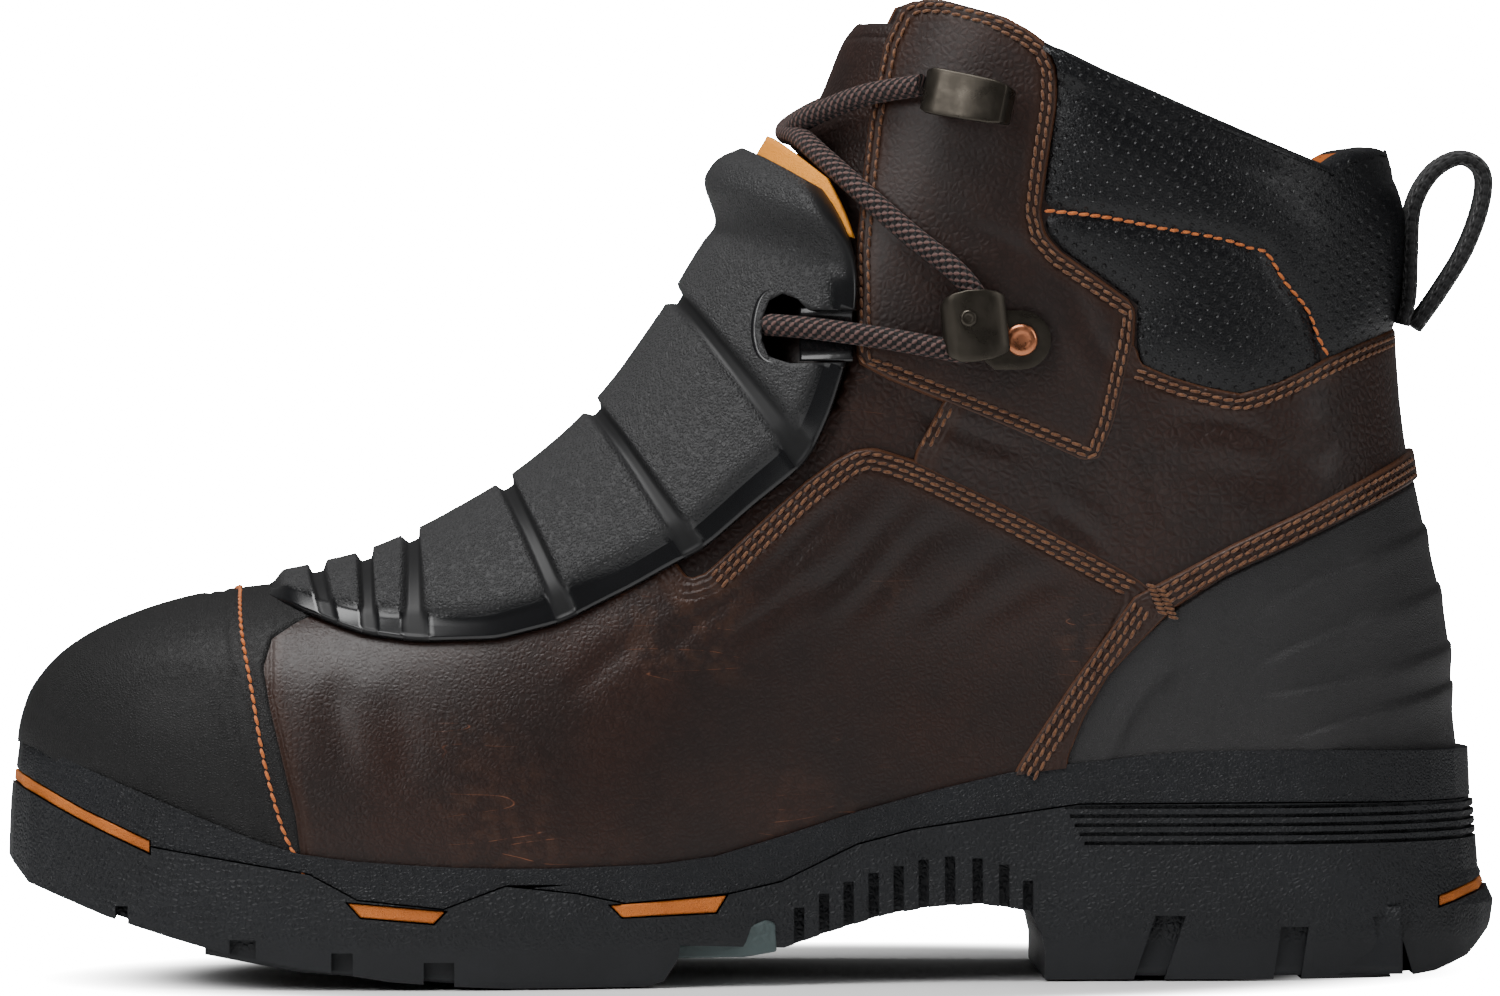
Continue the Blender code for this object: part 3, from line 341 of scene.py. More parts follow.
def panel(name, inside, trim, height, levels, dense=0):
    """A sewn-on piece: the last's surface inside a side-view field, raised by its height."""
    values = {"inside": inside, "trim": trim, "px": GRID_X, "pz": GRID_Z, "shut": GRID_CLOSED}
    rows, columns = GRID_X.shape
    index = np.arange(rows * columns).reshape(rows, columns)
    wanted = (inside > -0.6) & (trim > -0.6)
    keep = wanted[:-1, :-1] | wanted[1:, :-1] | wanted[:-1, 1:] | wanted[1:, 1:]
    quads = np.stack([index[:-1, :-1], index[1:, :-1], index[1:, 1:], index[:-1, 1:]], -1)[keep]
    used, flat = np.unique(quads, return_inverse=True)
    mesh = bpy.data.meshes.new(name)
    mesh.from_pydata(GRID_PLACE.reshape(-1, 3)[used].tolist(), [], flat.reshape(-1, 4).tolist())
    for label, value in values.items():
        layer = mesh.attributes.new(label, "FLOAT", "POINT")
        layer.data.foreach_set("value", np.asarray(value, dtype=np.float32).reshape(-1)[used])
    bm = bmesh.new()
    bm.from_mesh(mesh)
    bmesh.ops.remove_doubles(bm, verts=bm.verts, dist=2e-6)
    for level in levels:
        score(bm, bm.verts.layers.float["inside"], level)
    score(bm, bm.verts.layers.float["trim"], 0.0)
    edge, floor_edge = bm.verts.layers.float["inside"], bm.verts.layers.float["trim"]
    outside = [v for v in bm.verts if v[edge] < levels[0] - 1e-3 or v[floor_edge] < -1e-3]
    bmesh.ops.delete(bm, geom=outside, context="VERTS")
    if dense:
        bmesh.ops.subdivide_edges(bm, edges=bm.edges, cuts=dense, use_grid_fill=True)
    bm.to_mesh(mesh)
    bm.free()
    got = {}
    for label in values:
        got[label] = np.zeros(len(mesh.vertices), dtype=np.float32)
        mesh.attributes[label].data.foreach_get("value", got[label])
    x, z = got["px"].astype(float), got["pz"].astype(float)
    flat = np.zeros(3 * len(mesh.vertices), dtype=np.float32)
    mesh.vertices.foreach_get("co", flat)
    side = np.where(flat[1::3] / MM < middle_line(x, z), -1.0, 1.0)
    rise = height(got["inside"].astype(float), x, z, side)
    place, normal = on_last(x, z, side, rise, got["shut"] > 0.99)
    middle = middle_line(x, z) * MM
    place[:, 1] = np.where(side * (place[:, 1] - middle) < 0.0, middle, place[:, 1])
    mesh.vertices.foreach_set("co", place.reshape(-1).astype(np.float32))
    mesh.update()
    mesh.shade_smooth()
    return placed(name, mesh)


def edge_curve(inside, thick, radius=1.0):
    """Height of a leather layer near its cut edge, from a sunk foot to its full thickness."""
    near = np.clip(inside / radius, 0.0, 1.0)
    return -0.3 + (thick + 0.3) * np.sqrt(1.0 - (1.0 - near) ** 2)


# Shader groups shared by the pieces
def blend_colours(tree, share, first, second):
    """A mix of two colours, each given as three values or as a socket."""
    sockets = [(0, share)] + [(key, (*value, 1.0) if isinstance(value, tuple) else value)
                              for key, value in ((6, first), (7, second))]
    return add(tree, "ShaderNodeMix", sockets, data_type="RGBA").outputs[2]


def group(name, inputs, outputs):
    """An empty node group with its named sockets, its input node and its output node."""
    tree = bpy.data.node_groups.new(name, "ShaderNodeTree")
    for label, kind, value in inputs:
        socket = tree.interface.new_socket(label, in_out="INPUT", socket_type=kind)
        if value is not None:
            socket.default_value = value
    for label in outputs:
        tree.interface.new_socket(label, in_out="OUTPUT", socket_type="NodeSocketFloat")
    return tree, tree.nodes.new("NodeGroupInput"), tree.nodes.new("NodeGroupOutput")


FLOAT, VECTOR = "NodeSocketFloat", "NodeSocketVector"


def make_grain():
    """Pebbled hide: rounded cells of a size in millimetres, fine pores and broad mottling."""
    tree, given, result = group("hide_grain", [("Place", VECTOR, None), ("Cell", FLOAT, 1.5),
                                               ("Stretch", FLOAT, 0.6)],
                                ("Height", "Mottle", "Pore"))
    per_cell = math_node(tree, "DIVIDE", 1000.0, given.outputs["Cell"])
    scaled = add(tree, "ShaderNodeVectorMath", [(0, given.outputs["Place"]), ("Scale", per_cell)],
                 operation="SCALE").outputs[0]
    drift = add(tree, "ShaderNodeTexNoise", [("Vector", scaled), ("Scale", 0.55), ("Detail", 2.0)])
    wander = add(tree, "ShaderNodeVectorMath", [(0, drift.outputs["Color"]),
                                                ("Scale", given.outputs["Stretch"])],
                 operation="SCALE").outputs[0]
    moved = add(tree, "ShaderNodeVectorMath", [(0, scaled), (1, wander)], operation="ADD").outputs[0]
    cells = add(tree, "ShaderNodeTexVoronoi", [("Vector", moved), ("Scale", 1.0)],
                feature="DISTANCE_TO_EDGE")
    dome = span(tree, cells.outputs["Distance"], 0.0, 0.42)
    pores = add(tree, "ShaderNodeTexNoise", [("Vector", scaled), ("Scale", 3.2), ("Detail", 5.0),
                                             ("Roughness", 0.65)])
    broad = add(tree, "ShaderNodeTexNoise", [("Vector", given.outputs["Place"]), ("Scale", 42.0),
                                             ("Detail", 6.0), ("Roughness", 0.6)])
    fine = math_node(tree, "MULTIPLY", pores.outputs["Fac"], 0.45)
    tree.links.new(math_node(tree, "ADD", dome, fine), result.inputs["Height"])
    tree.links.new(span(tree, broad.outputs["Fac"], 0.32, 0.70), result.inputs["Mottle"])
    tree.links.new(pores.outputs["Fac"], result.inputs["Pore"])
    return tree


def make_seams():
    """Grooves pressed by up to three rows of stitches, and the pale dust along the cut edge."""
    inputs = [("Inside", FLOAT, 10.0), ("Row 1", FLOAT, 1.6), ("Row 2", FLOAT, 3.0),
              ("Row 3", FLOAT, 4.4)]
    tree, given, result = group("seam_rows", inputs, ("Height", "Edge"))
    total = None
    for row in ("Row 1", "Row 2", "Row 3"):
        off = math_node(tree, "SUBTRACT", given.outputs["Inside"], given.outputs[row])
        square = math_node(tree, "MULTIPLY", math_node(tree, "MULTIPLY", off, off), -3.0)
        dip = math_node(tree, "EXPONENT", square)
        total = dip if total is None else math_node(tree, "ADD", total, dip)
    tree.links.new(math_node(tree, "MULTIPLY", total, -1.0), result.inputs["Height"])
    edge = span(tree, given.outputs["Inside"], 0.25, 0.85, 1.0, 0.0)
    tree.links.new(edge, result.inputs["Edge"])
    return tree


def make_scuffs():
    """Fine scratches and a rubbed patch, as masks."""
    tree, given, result = group("scuff_marks", [("Place", VECTOR, None), ("Amount", FLOAT, 1.0)],
                                ("Scratch", "Rub"))
    stretched = add(tree, "ShaderNodeMapping", [("Vector", given.outputs["Place"]),
                                                ("Rotation", (0.0, 0.9, 0.0)),
                                                ("Scale", (0.8, 1.0, 5.5))])
    lines = add(tree, "ShaderNodeTexNoise", [("Vector", stretched.outputs[0]), ("Scale", 34.0),
                                             ("Detail", 0.5), ("Distortion", 0.3)])
    thin = math_node(tree, "ABSOLUTE", math_node(tree, "SUBTRACT", lines.outputs["Fac"], 0.53))
    line = span(tree, thin, 0.0012, 0.0042, 1.0, 0.0)
    where = add(tree, "ShaderNodeTexNoise", [("Vector", given.outputs["Place"]), ("Scale", 26.0),
                                             ("Detail", 3.0)])
    patch = span(tree, where.outputs["Fac"], 0.54, 0.66)
    broken = add(tree, "ShaderNodeTexNoise", [("Vector", given.outputs["Place"]),
                                              ("Scale", 330.0), ("Detail", 4.0)])
    crumbs = span(tree, broken.outputs["Fac"], 0.42, 0.60)
    seen = math_node(tree, "MULTIPLY", math_node(tree, "MULTIPLY", line, patch), crumbs)
    tree.links.new(math_node(tree, "MULTIPLY", seen, given.outputs["Amount"]),
                   result.inputs["Scratch"])
    rub = math_node(tree, "MULTIPLY", math_node(tree, "MULTIPLY", patch, crumbs), 0.16)
    tree.links.new(math_node(tree, "MULTIPLY", rub, given.outputs["Amount"]), result.inputs["Rub"])
    return tree


def make_pinholes():
    """Staggered rows of small holes on a side-view grid in millimetres."""
    inputs = [("Along", FLOAT, 0.0), ("Up", FLOAT, 0.0), ("Pitch", FLOAT, 2.4),
              ("Radius", FLOAT, 0.32)]
    tree, given, result = group("pinholes", inputs, ("Hole", "Rim"))
    flat = add(tree, "ShaderNodeCombineXYZ", [("X", given.outputs["Along"]),
                                              ("Y", given.outputs["Up"])])
    turned = add(tree, "ShaderNodeMapping", [("Vector", flat.outputs[0]),
                                             ("Rotation", (0.0, 0.0, 0.62))])
    per_pitch = math_node(tree, "DIVIDE", 1.0, given.outputs["Pitch"])
    dots = add(tree, "ShaderNodeTexVoronoi", [("Vector", turned.outputs[0]), ("Scale", per_pitch),
                                              ("Randomness", 0.0)], voronoi_dimensions="2D")
    reach = math_node(tree, "MULTIPLY", dots.outputs["Distance"], given.outputs["Pitch"])
    outer = math_node(tree, "MULTIPLY", given.outputs["Radius"], 2.2)
    tree.links.new(span(tree, reach, math_node(tree, "MULTIPLY", outer, 0.32), outer, 1.0, 0.0),
                   result.inputs["Rim"])
    tree.links.new(span(tree, reach, 0.0, given.outputs["Radius"], 1.0, 0.0),
                   result.inputs["Hole"])
    return tree


GRAIN, SEAMS, SCUFFS, PINHOLES = make_grain(), make_seams(), make_scuffs(), make_pinholes()


def surface(name, colour, roughness, metallic=0.0, coat=0.0, sheen=0.0):
    """A new material with its Principled node set to plain values."""
    made = bpy.data.materials.new(name)
    made.use_nodes = True
    principled = made.node_tree.nodes["Principled BSDF"]
    principled.inputs["Base Color"].default_value = (*colour, 1.0)
    principled.inputs["Roughness"].default_value = roughness
    principled.inputs["Metallic"].default_value = metallic
    principled.inputs["Coat Weight"].default_value = coat
    principled.inputs["Coat Roughness"].default_value = 0.25
    principled.inputs["Specular IOR Level"].default_value = 0.5 if metallic else 0.29
    principled.inputs["Sheen Weight"].default_value = sheen
    made.diffuse_color = (*colour, 1.0)
    return made, made.node_tree, principled


def use_group(tree, shared, **inputs):
    made = add(tree, "ShaderNodeGroup", node_tree=shared)
    for label, value in inputs.items():
        socket = made.inputs[label.replace("_", " ")]
        if isinstance(value, bpy.types.NodeSocket):
            tree.links.new(value, socket)
        else:
            socket.default_value = value
    return made.outputs


def place_of(tree):
    return add(tree, "ShaderNodeTexCoord").outputs["Object"]


def attribute(tree, name):
    return add(tree, "ShaderNodeAttribute", attribute_name=name).outputs["Fac"]


def bump(tree, principled, height, distance, strength=1.0, below=None):
    """Feeds a height in units of the distance to the surface's normal."""
    sockets = [("Height", height), ("Distance", distance), ("Strength", strength)]
    if below is not None:
        sockets.append(("Normal", below))
    made = add(tree, "ShaderNodeBump", sockets)
    tree.links.new(made.outputs[0], principled.inputs["Normal"])
    return made.outputs[0]


NO_ROW = 90.0


def hide(name, colour, tint, roughness, cell, relief, rows=(), raw=None, scuff=0.0, coat=0.12,
         sewn=True):
    """Pebbled leather with mottling, painted shade in the grain's hollows, pressed seam rows, a raw cut
    edge and scuffs.
    """
    made, tree, principled = surface(name, colour, roughness, coat=coat)
    place = place_of(tree)
    grain = use_group(tree, GRAIN, Place=place, Cell=cell)
    shade = blend_colours(tree, grain["Mottle"], colour, tint)
    # Painted shade: the hollows of the grain are mixed towards a darker copy of the colour.
    dark = tuple(0.55 * value for value in colour)
    painted_valley_shade = span(tree, grain["Height"], 0.0, 0.5, 0.75, 0.0)
    shade = blend_colours(tree, painted_valley_shade, shade, dark)
    rough = span(tree, grain["Pore"], 0.3, 0.7, roughness - 0.08, roughness + 0.10)
    normal = bump(tree, principled, grain["Height"], relief * MM)
    if sewn:
        inside = attribute(tree, "inside")
        seams = use_group(tree, SEAMS, Inside=inside, Row_1=rows[0], Row_2=rows[1], Row_3=rows[2])
        bump(tree, principled, seams["Height"], 0.30 * MM, 1.0, normal)
        if raw is not None:
            deepest = max(row for row in rows if row < NO_ROW)
            strip = span(tree, inside, deepest + 0.6, deepest + 3.0, 0.8, 0.0)
            shade = blend_colours(tree, strip, shade, SEAM_RUST)
            shade = blend_colours(tree, seams["Edge"], shade, raw)
    if scuff > 0.0:
        marks = use_group(tree, SCUFFS, Place=place, Amount=scuff)
        shade = blend_colours(tree, marks["Scratch"], shade, (0.22, 0.075, 0.035))
        shade = blend_colours(tree, marks["Rub"], shade, (0.10, 0.045, 0.024))
    tree.links.new(shade, principled.inputs["Base Color"])
    tree.links.new(rough, principled.inputs["Roughness"])
    return made


def settle(thing, finish, slot, *nodes):
    """Gives a piece its material, its place on the boot and the nodes it stands for."""
    if finish is not None:
        thing.data.materials.clear()
        thing.data.materials.append(finish)
    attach(thing, "root")
    if nodes:
        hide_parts(*nodes)
    return thing


BROWN, RUST = (0.0135, 0.0064, 0.0050), (0.0240, 0.0090, 0.0056)
SEAM_RUST = (0.0260, 0.0090, 0.0042)
RAW_EDGE = (0.085, 0.034, 0.016)

# Upper
# One hollow shell of brown leather, open at the collar and the throat and underneath, where it
# stands on the sole. Its wall shows at the throat and inside the collar.
WALL = 2.2
THROAT = [(32.6, 205), (28.6, 197), (25, 180.5), (23.7, 170), (21.8, 153), (21.3, 134), (17, 121),
          (8, 112.5), (-6, 110), (-20, 113), (-70, 140), (-70, 230), (34, 230)]
COLLAR_LINE = [(8, 200), (26, 203), (32.6, 205), (37, 206.6), (42.3, 206.4), (50.9, 204),
               (58.1, 200), (63, 196.2), (74, 190.8), (95, 181.7), (113, 174), (121, 170.6),
               (126, 173.6), (131, 174.4), (140, 172), (160, 170)]
collar_frame = COLLAR_LINE + [(160, 10), (-175, 10), (-175, 200)]
ABOVE_SOLE = GRID_Z - feather(GRID_X) + 0.8
hull_field = np.minimum(-depth_inside(THROAT, GRID_X, GRID_Z),
                        depth_inside(collar_frame, GRID_X, GRID_Z))
upper = panel("upper_shell", hull_field, ABOVE_SOLE,
              lambda inside, x, z, side: creases(x, z, side), [0.0])
leather = hide("brown_leather", BROWN, RUST, 0.52, 1.7, 0.12, sewn=False, scuff=0.25, coat=0.05)
suede = hide("shell_inside", (0.020, 0.019, 0.020), (0.030, 0.028, 0.028), 0.8, 0.9, 0.2,
             sewn=False, coat=0.0)
wall = upper.modifiers.new("wall", "SOLIDIFY")
wall.thickness = WALL * MM
wall.offset = -1.0
wall.use_even_offset = False
wall.material_offset = 1
settle(upper, leather, "upper_leather", "upper")
upper.data.materials.append(suede)

# Vamp
# The lower front leather is one layer over the shell, from the toe cap back to the band at the
# heel. Three rows of stitches run under its upper edge.
VAMP = [(-97, 8), (-100, 36), (-103, 48), (-106, 60), (-106, 74), (-98, 84), (-50, 120),
        (-22, 96), (-14, 85), (-10.4, 86.3), (2.2, 97.9), (10.4, 105.2), (17.1, 110),
        (21.2, 112.1), (25.3, 112.4), (33.8, 109.7), (52.8, 100.3), (80.3, 85), (84, 82), (78, 70),
        (67, 52), (56, 30), (56, 8)]
vamp_field = depth_inside(VAMP, GRID_X, GRID_Z)
LAYER_LEVELS = [0.0, 0.15, 0.5, 1.0]


def creased(thick):
    """Height of a leather layer of a thickness, with the wear creases."""
    return lambda inside, x, z, side: edge_curve(inside, thick) + creases(x, z, side)


vamp = panel("vamp", vamp_field, ABOVE_SOLE, creased(1.75), LAYER_LEVELS)
settle(vamp, hide("vamp_leather", BROWN, RUST, 0.45, 1.1, 0.07, rows=(1.5, 3.0, 4.5),
                  raw=RAW_EDGE, scuff=1.0), "upper_leather")

# Heel band
# A band of the same leather covers the joint between the shell and the counter. It leaves the
# sole behind the vamp, turns at a bar tack and runs up to the back with three rows of stitches.
BAND = [(50, 30), (54.4, 44.6), (66, 62), (79.6, 80.9), (84.5, 83.4), (88, 85.2), (100, 91.6),
        (117, 99.6), (141.9, 111.8), (160, 118), (160, 112.5), (141.3, 104.5), (116.3, 93.2),
        (98.6, 85), (88.6, 78.4), (80.5, 70.2), (74.4, 63.8), (69.5, 55.6), (66, 46.9), (64, 30)]
band_field = depth_inside(BAND, GRID_X, GRID_Z)
band = panel("heel_band", band_field, ABOVE_SOLE,
             lambda inside, x, z, side: edge_curve(inside, 2.9, 0.8), [0.0, 0.12, 0.4, 0.8])
settle(band, hide("band_leather", BROWN, RUST, 0.46, 1.1, 0.10, rows=(1.3, 2.6, 3.9),
                  raw=RAW_EDGE), "upper_leather")

# Counter
# A moulded dark counter wraps the heel. Low ridges sweep forward from the back line.
COUNTER_EDGE = [(60, 30), (62.3, 46.9), (66.4, 55.6), (70.8, 63.8), (77.1, 69.6), (87, 77.6),
                (98.6, 85), (116.3, 93.2), (141.3, 104.5), (160, 112.5)]
COUNTER_RIDGES = [((144, 94.0), (118, 83.5), (104, 75.0)), ((147, 81.5), (120, 72.0), (103, 64.0)),
                  ((148.6, 69.0), (124, 62.0), (104, 58.5)), ((149, 61.0), (128, 54.8), (110, 49.0)),
                  ((75, 47.5), (81.5, 59.2), (91.9, 68.0))]


def ridge_lines(x, z):
    """Moulded ridges along curved lines, sharp on their upper side."""
    total = np.zeros(np.shape(x))
    for (ax, az), (bx, bz), (cx, cz) in COUNTER_RIDGES:
        line = smooth([(ax, az), (bx, bz), (cx, cz)], 12)
        best = np.full(np.shape(x), 1e9)
        share = np.zeros(np.shape(x))
        above = np.zeros(np.shape(x))
        for k, (start, end) in enumerate(zip(line[:-1], line[1:])):
            run = end - start
            t, gap = to_segment(x, z, start, end)
            nearer = gap < best
            best = np.where(nearer, gap, best)
            share = np.where(nearer, (k + t) / (len(line) - 1), share)
            turn = run[0] * (z - start[1]) - run[1] * (x - start[0])
            above = np.where(nearer, -np.sign(turn) * gap, above)
        fade = ease((1.0 - share) / 0.3) * (0.5 + 0.5 * ease(share / 0.3))
        total += fade * 1.1 * np.where(above > 0, np.exp(-(above / 0.55) ** 2),
                                        np.exp(-(above / 4.2) ** 2))
    return total


counter_field = depth_inside(COUNTER_EDGE + [(160, 8), (58, 8)], GRID_X, GRID_Z)
counter = panel("heel_counter_shell", counter_field, ABOVE_SOLE,
                lambda inside, x, z, side: edge_curve(inside, 1.9) + ridge_lines(x, z),
                [0.0, 0.4, 1.0], 2)
settle(counter, hide("counter_rubber", (0.0215, 0.0208, 0.0216), (0.0250, 0.0240, 0.0246), 0.52,
                     0.55, 0.10, sewn=False, coat=0.05), "counter", "heel_counter")

# Toe cap
# A dark grained cap covers the toe. An orange row of stitches runs just behind two moulded
# creases, and the rear edge turns down onto the vamp.
CAP_EDGE = [(-93.2, 14), (-96, 36), (-98.9, 48.1), (-101.4, 58.4), (-102.7, 65.9), (-101, 71.2),
            (-96, 74.3), (-89.4, 76.9), (-86, 95)]
CAP_SEAM = [(-93.0, 18.0), (-95.4, 25.7), (-98.9, 33.2), (-102.7, 46.7), (-105.5, 61.5),
            (-107.8, 73.4), (-108.4, 84.0)]
CAP_THICK = 2.4
seam_line = smooth(CAP_SEAM, 10)


def cap_height(inside, x, z, side):
    behind = x - np.interp(z, seam_line[:, 1], seam_line[:, 0])
    fold = -0.50 * np.exp(-((behind + 4.0) / 0.7) ** 2) - 0.45 * np.exp(-((behind + 6.4) / 0.8) ** 2)
    press = -0.25 * np.exp(-(behind / 0.6) ** 2)
    return edge_curve(inside, CAP_THICK, 1.3) + (fold + press) * ease((inside - 1.0) / 2.0)


cap_field = depth_inside(CAP_EDGE + [(-175, 95), (-175, 8), (-93, 8)], GRID_X, GRID_Z)
toe_cap = panel("toe_cap_shell", cap_field, ABOVE_SOLE, cap_height, [0.0, 0.2, 0.6, 1.3], 1)
settle(toe_cap, hide("toe_rubber", (0.0056, 0.0054, 0.0056), (0.0074, 0.0071, 0.0072), 0.58,
                     0.6, 0.13, sewn=False, coat=0.03), "toe_cap_leather", "toe_cap")

# Facings
# Each side of the throat carries a leather facing with two rows of stitches inside its edge.
FACING = [(32.6, 205), (37, 206.6), (42.3, 206.4), (50.9, 204), (58.1, 200), (62.3, 196.4),
          (64.1, 191.5), (63.9, 184), (61.3, 168.4), (60.4, 161.6), (61.3, 157.2), (64.1, 153.7),
          (80.3, 142.1), (79.9, 134), (75.8, 117.1), (72.7, 109.7), (69.5, 108.8), (52.8, 116.4),
          (28.1, 126.6), (21.5, 130.2), (21.8, 153), (23.7, 170), (25, 180.5), (28.6, 197)]
facing_field = depth_inside(FACING, GRID_X, GRID_Z)
for side, word in ((-1, "medial"), (1, "lateral")):
    one_side = np.where(GRID_SIDE == side, facing_field, -5.0)
    facing = panel("facing_layer_" + word, one_side, ABOVE_SOLE,
                   creased(1.6), LAYER_LEVELS)
    settle(facing, hide("facing_leather_" + word, BROWN, RUST, 0.53, 1.5, 0.09,
                        rows=(1.4, 2.9, NO_ROW), raw=RAW_EDGE, scuff=0.2),
           "facing_leather", "facing_" + word)

# Quarter
# The rear leather runs from a double seam behind the vamp round the heel. Its upper edge laps
# over the collar panel, with two rows of stitches along it.
COLLAR_EDGE = [(80.6, 134), (80.9, 130), (87.8, 127.1), (94.8, 124.9), (102, 123.4),
               (110.3, 125.8), (120.4, 130.5), (128.3, 133.8), (137.1, 136.8), (160, 143)]
QUARTER = [(33.0, 104), (33.5, 111), (38.5, 120), (44, 130), (72, 136)] + COLLAR_EDGE
QUARTER += [(160, 100), (100, 80), (76, 76), (45, 92)]
quarter_field = depth_inside(QUARTER, GRID_X, GRID_Z)
quarter = panel("quarter", quarter_field, ABOVE_SOLE, creased(1.3), LAYER_LEVELS)
settle(quarter, hide("quarter_leather", BROWN, RUST, 0.46, 1.8, 0.15, rows=(1.6, 3.1, NO_ROW),
                     raw=RAW_EDGE, scuff=0.3), "upper_leather")

# Collar
# A padded black panel with rows of pinholes goes round the ankle from facing to facing. An
# orange seam parts its lower pocket, and its top rolls over into the orange lining.
COLLAR_SEAM = [(61, 162), (73.3, 160.6), (85.3, 158.2), (96.7, 156.1), (104, 153.8),
               (107.4, 152.5), (110.9, 146.9), (115.7, 140.8), (118.2, 134.6), (120, 131)]
collar_outline = FACING[5:14] + [(x, z - 2.0) for x, z in COLLAR_EDGE[1:]]
collar_outline += COLLAR_LINE[:7:-1]
collar_field = depth_inside(collar_outline, GRID_X, GRID_Z)
BELOW_COLLAR = np.interp(GRID_X, *zip(*COLLAR_LINE)) - GRID_Z
collar_seam = smooth(COLLAR_SEAM, 6)


def line_distance(line, x, z):
    """Distance in the side view to an open line."""
    return np.min([to_segment(x, z, a, b)[1] for a, b in zip(line[:-1], line[1:])], axis=0)


def collar_height(inside, x, z, side):
    top = np.interp(x, *zip(*COLLAR_LINE)) - z
    puff = 2.9 * (1.0 - np.exp(-np.clip(inside, 0, None) / 4.5))
    swell = 0.9 * np.exp(-((top - 13.0) / 11.0) ** 2)
    press = -1.5 * np.exp(-(line_distance(collar_seam, x, z) / 1.1) ** 1.3)
    height = np.where(top < 6.0, 3.0, puff + swell)
    return height + press * ease((top - 1.0) / 4.0) - 0.2


def padded_black(name, folded):
    """Soft black coated leather with pinholes painted darker as the shade inside them, fine grain and a
    low gloss.
    """
    made, tree, principled = surface(name, (0.0017, 0.0018, 0.0026), 0.38, coat=0.1)
    place = place_of(tree)
    grain = use_group(tree, GRAIN, Place=place, Cell=0.7)
    holes = use_group(tree, PINHOLES, Along=attribute(tree, "px"), Up=attribute(tree, "pz"),
                      Pitch=2.5, Radius=0.30)
    # Painted shade: the pinholes are painted darker than the leather round them.
    shade = blend_colours(tree, holes["Hole"], (0.0028, 0.0030, 0.0040),
                          (0.0006, 0.0008, 0.0008))
    tree.links.new(shade, principled.inputs["Base Color"])
    tree.links.new(span(tree, grain["Pore"], 0.3, 0.7, 0.24, 0.40), principled.inputs["Roughness"])
    normal = bump(tree, principled, grain["Height"], 0.07 * MM)
    dent = math_node(tree, "MULTIPLY", holes["Rim"], -1.0)
    normal = bump(tree, principled, dent, 0.26 * MM, 1.0, normal)
    if folded:
        fold = add(tree, "ShaderNodeTexNoise", [("Vector", place), ("Scale", 120.0),
                                                ("Detail", 3.0)])
        bump(tree, principled, fold.outputs["Fac"], 0.5 * MM, 0.6, normal)
    return made


collar = panel("collar_panel", collar_field, BELOW_COLLAR - 1.0, collar_height,
               [0.0, 0.6, 1.5])
settle(collar, padded_black("collar_skin", True), "collar", "collar_pad")


def set_values(mesh, **values):
    for label, value in values.items():
        layer = mesh.attributes.new(label, "FLOAT", "POINT")
        layer.data.foreach_set("value", np.asarray(value, dtype=np.float32).reshape(-1))


def welded(mesh):
    """Merges the doubled points of a mesh and turns its faces outward."""
    bm = bmesh.new()
    bm.from_mesh(mesh)
    bmesh.ops.remove_doubles(bm, verts=bm.verts, dist=1e-6)
    bmesh.ops.recalc_face_normals(bm, faces=bm.faces)
    bm.to_mesh(mesh)
    bm.free()


def sheet_mesh(name, grid, ring=False, **values):
    """One skin over a grid of points, row by row, closed round its columns where asked."""
    rows, columns = grid.shape[:2]
    index = np.arange(rows * columns).reshape(rows, columns)
    if ring:
        index = np.concatenate([index, index[:, :1]], axis=1)
    quads = np.stack([index[:-1, :-1], index[1:, :-1], index[1:, 1:], index[:-1, 1:]], -1)
    mesh = bpy.data.meshes.new(name)
    mesh.from_pydata(grid.reshape(-1, 3).tolist(), [], quads.reshape(-1, 4).tolist())
    set_values(mesh, **values)
    mesh.shade_smooth()
    return placed(name, mesh)


def closed_sheet(name, top, under, **values):
    """A solid between two grids of points, with the named values on both."""
    rows, columns = top.shape[:2]
    count = rows * columns
    index = np.arange(count).reshape(rows, columns)
    quads = np.stack([index[:-1, :-1], index[1:, :-1], index[1:, 1:], index[:-1, 1:]], -1)
    faces = quads.reshape(-1, 4).tolist()
    faces += [[d + count, c + count, b + count, a + count] for a, b, c, d in faces]
    border = list(index[0, :]) + list(index[1:, -1]) + list(index[-1, -2::-1])
    border += list(index[-2:0:-1, 0])
    for a, b in zip(border, border[1:] + border[:1]):
        faces.append([int(a), int(b), int(b) + count, int(a) + count])
    mesh = bpy.data.meshes.new(name)
    points = np.concatenate([top.reshape(-1, 3), under.reshape(-1, 3)])
    mesh.from_pydata(points.tolist(), [], faces)
    doubled = {label: np.concatenate([np.asarray(v).reshape(-1)] * 2) for label, v in values.items()}
    set_values(mesh, **doubled)
    welded(mesh)
    mesh.shade_smooth()
    return placed(name, mesh)


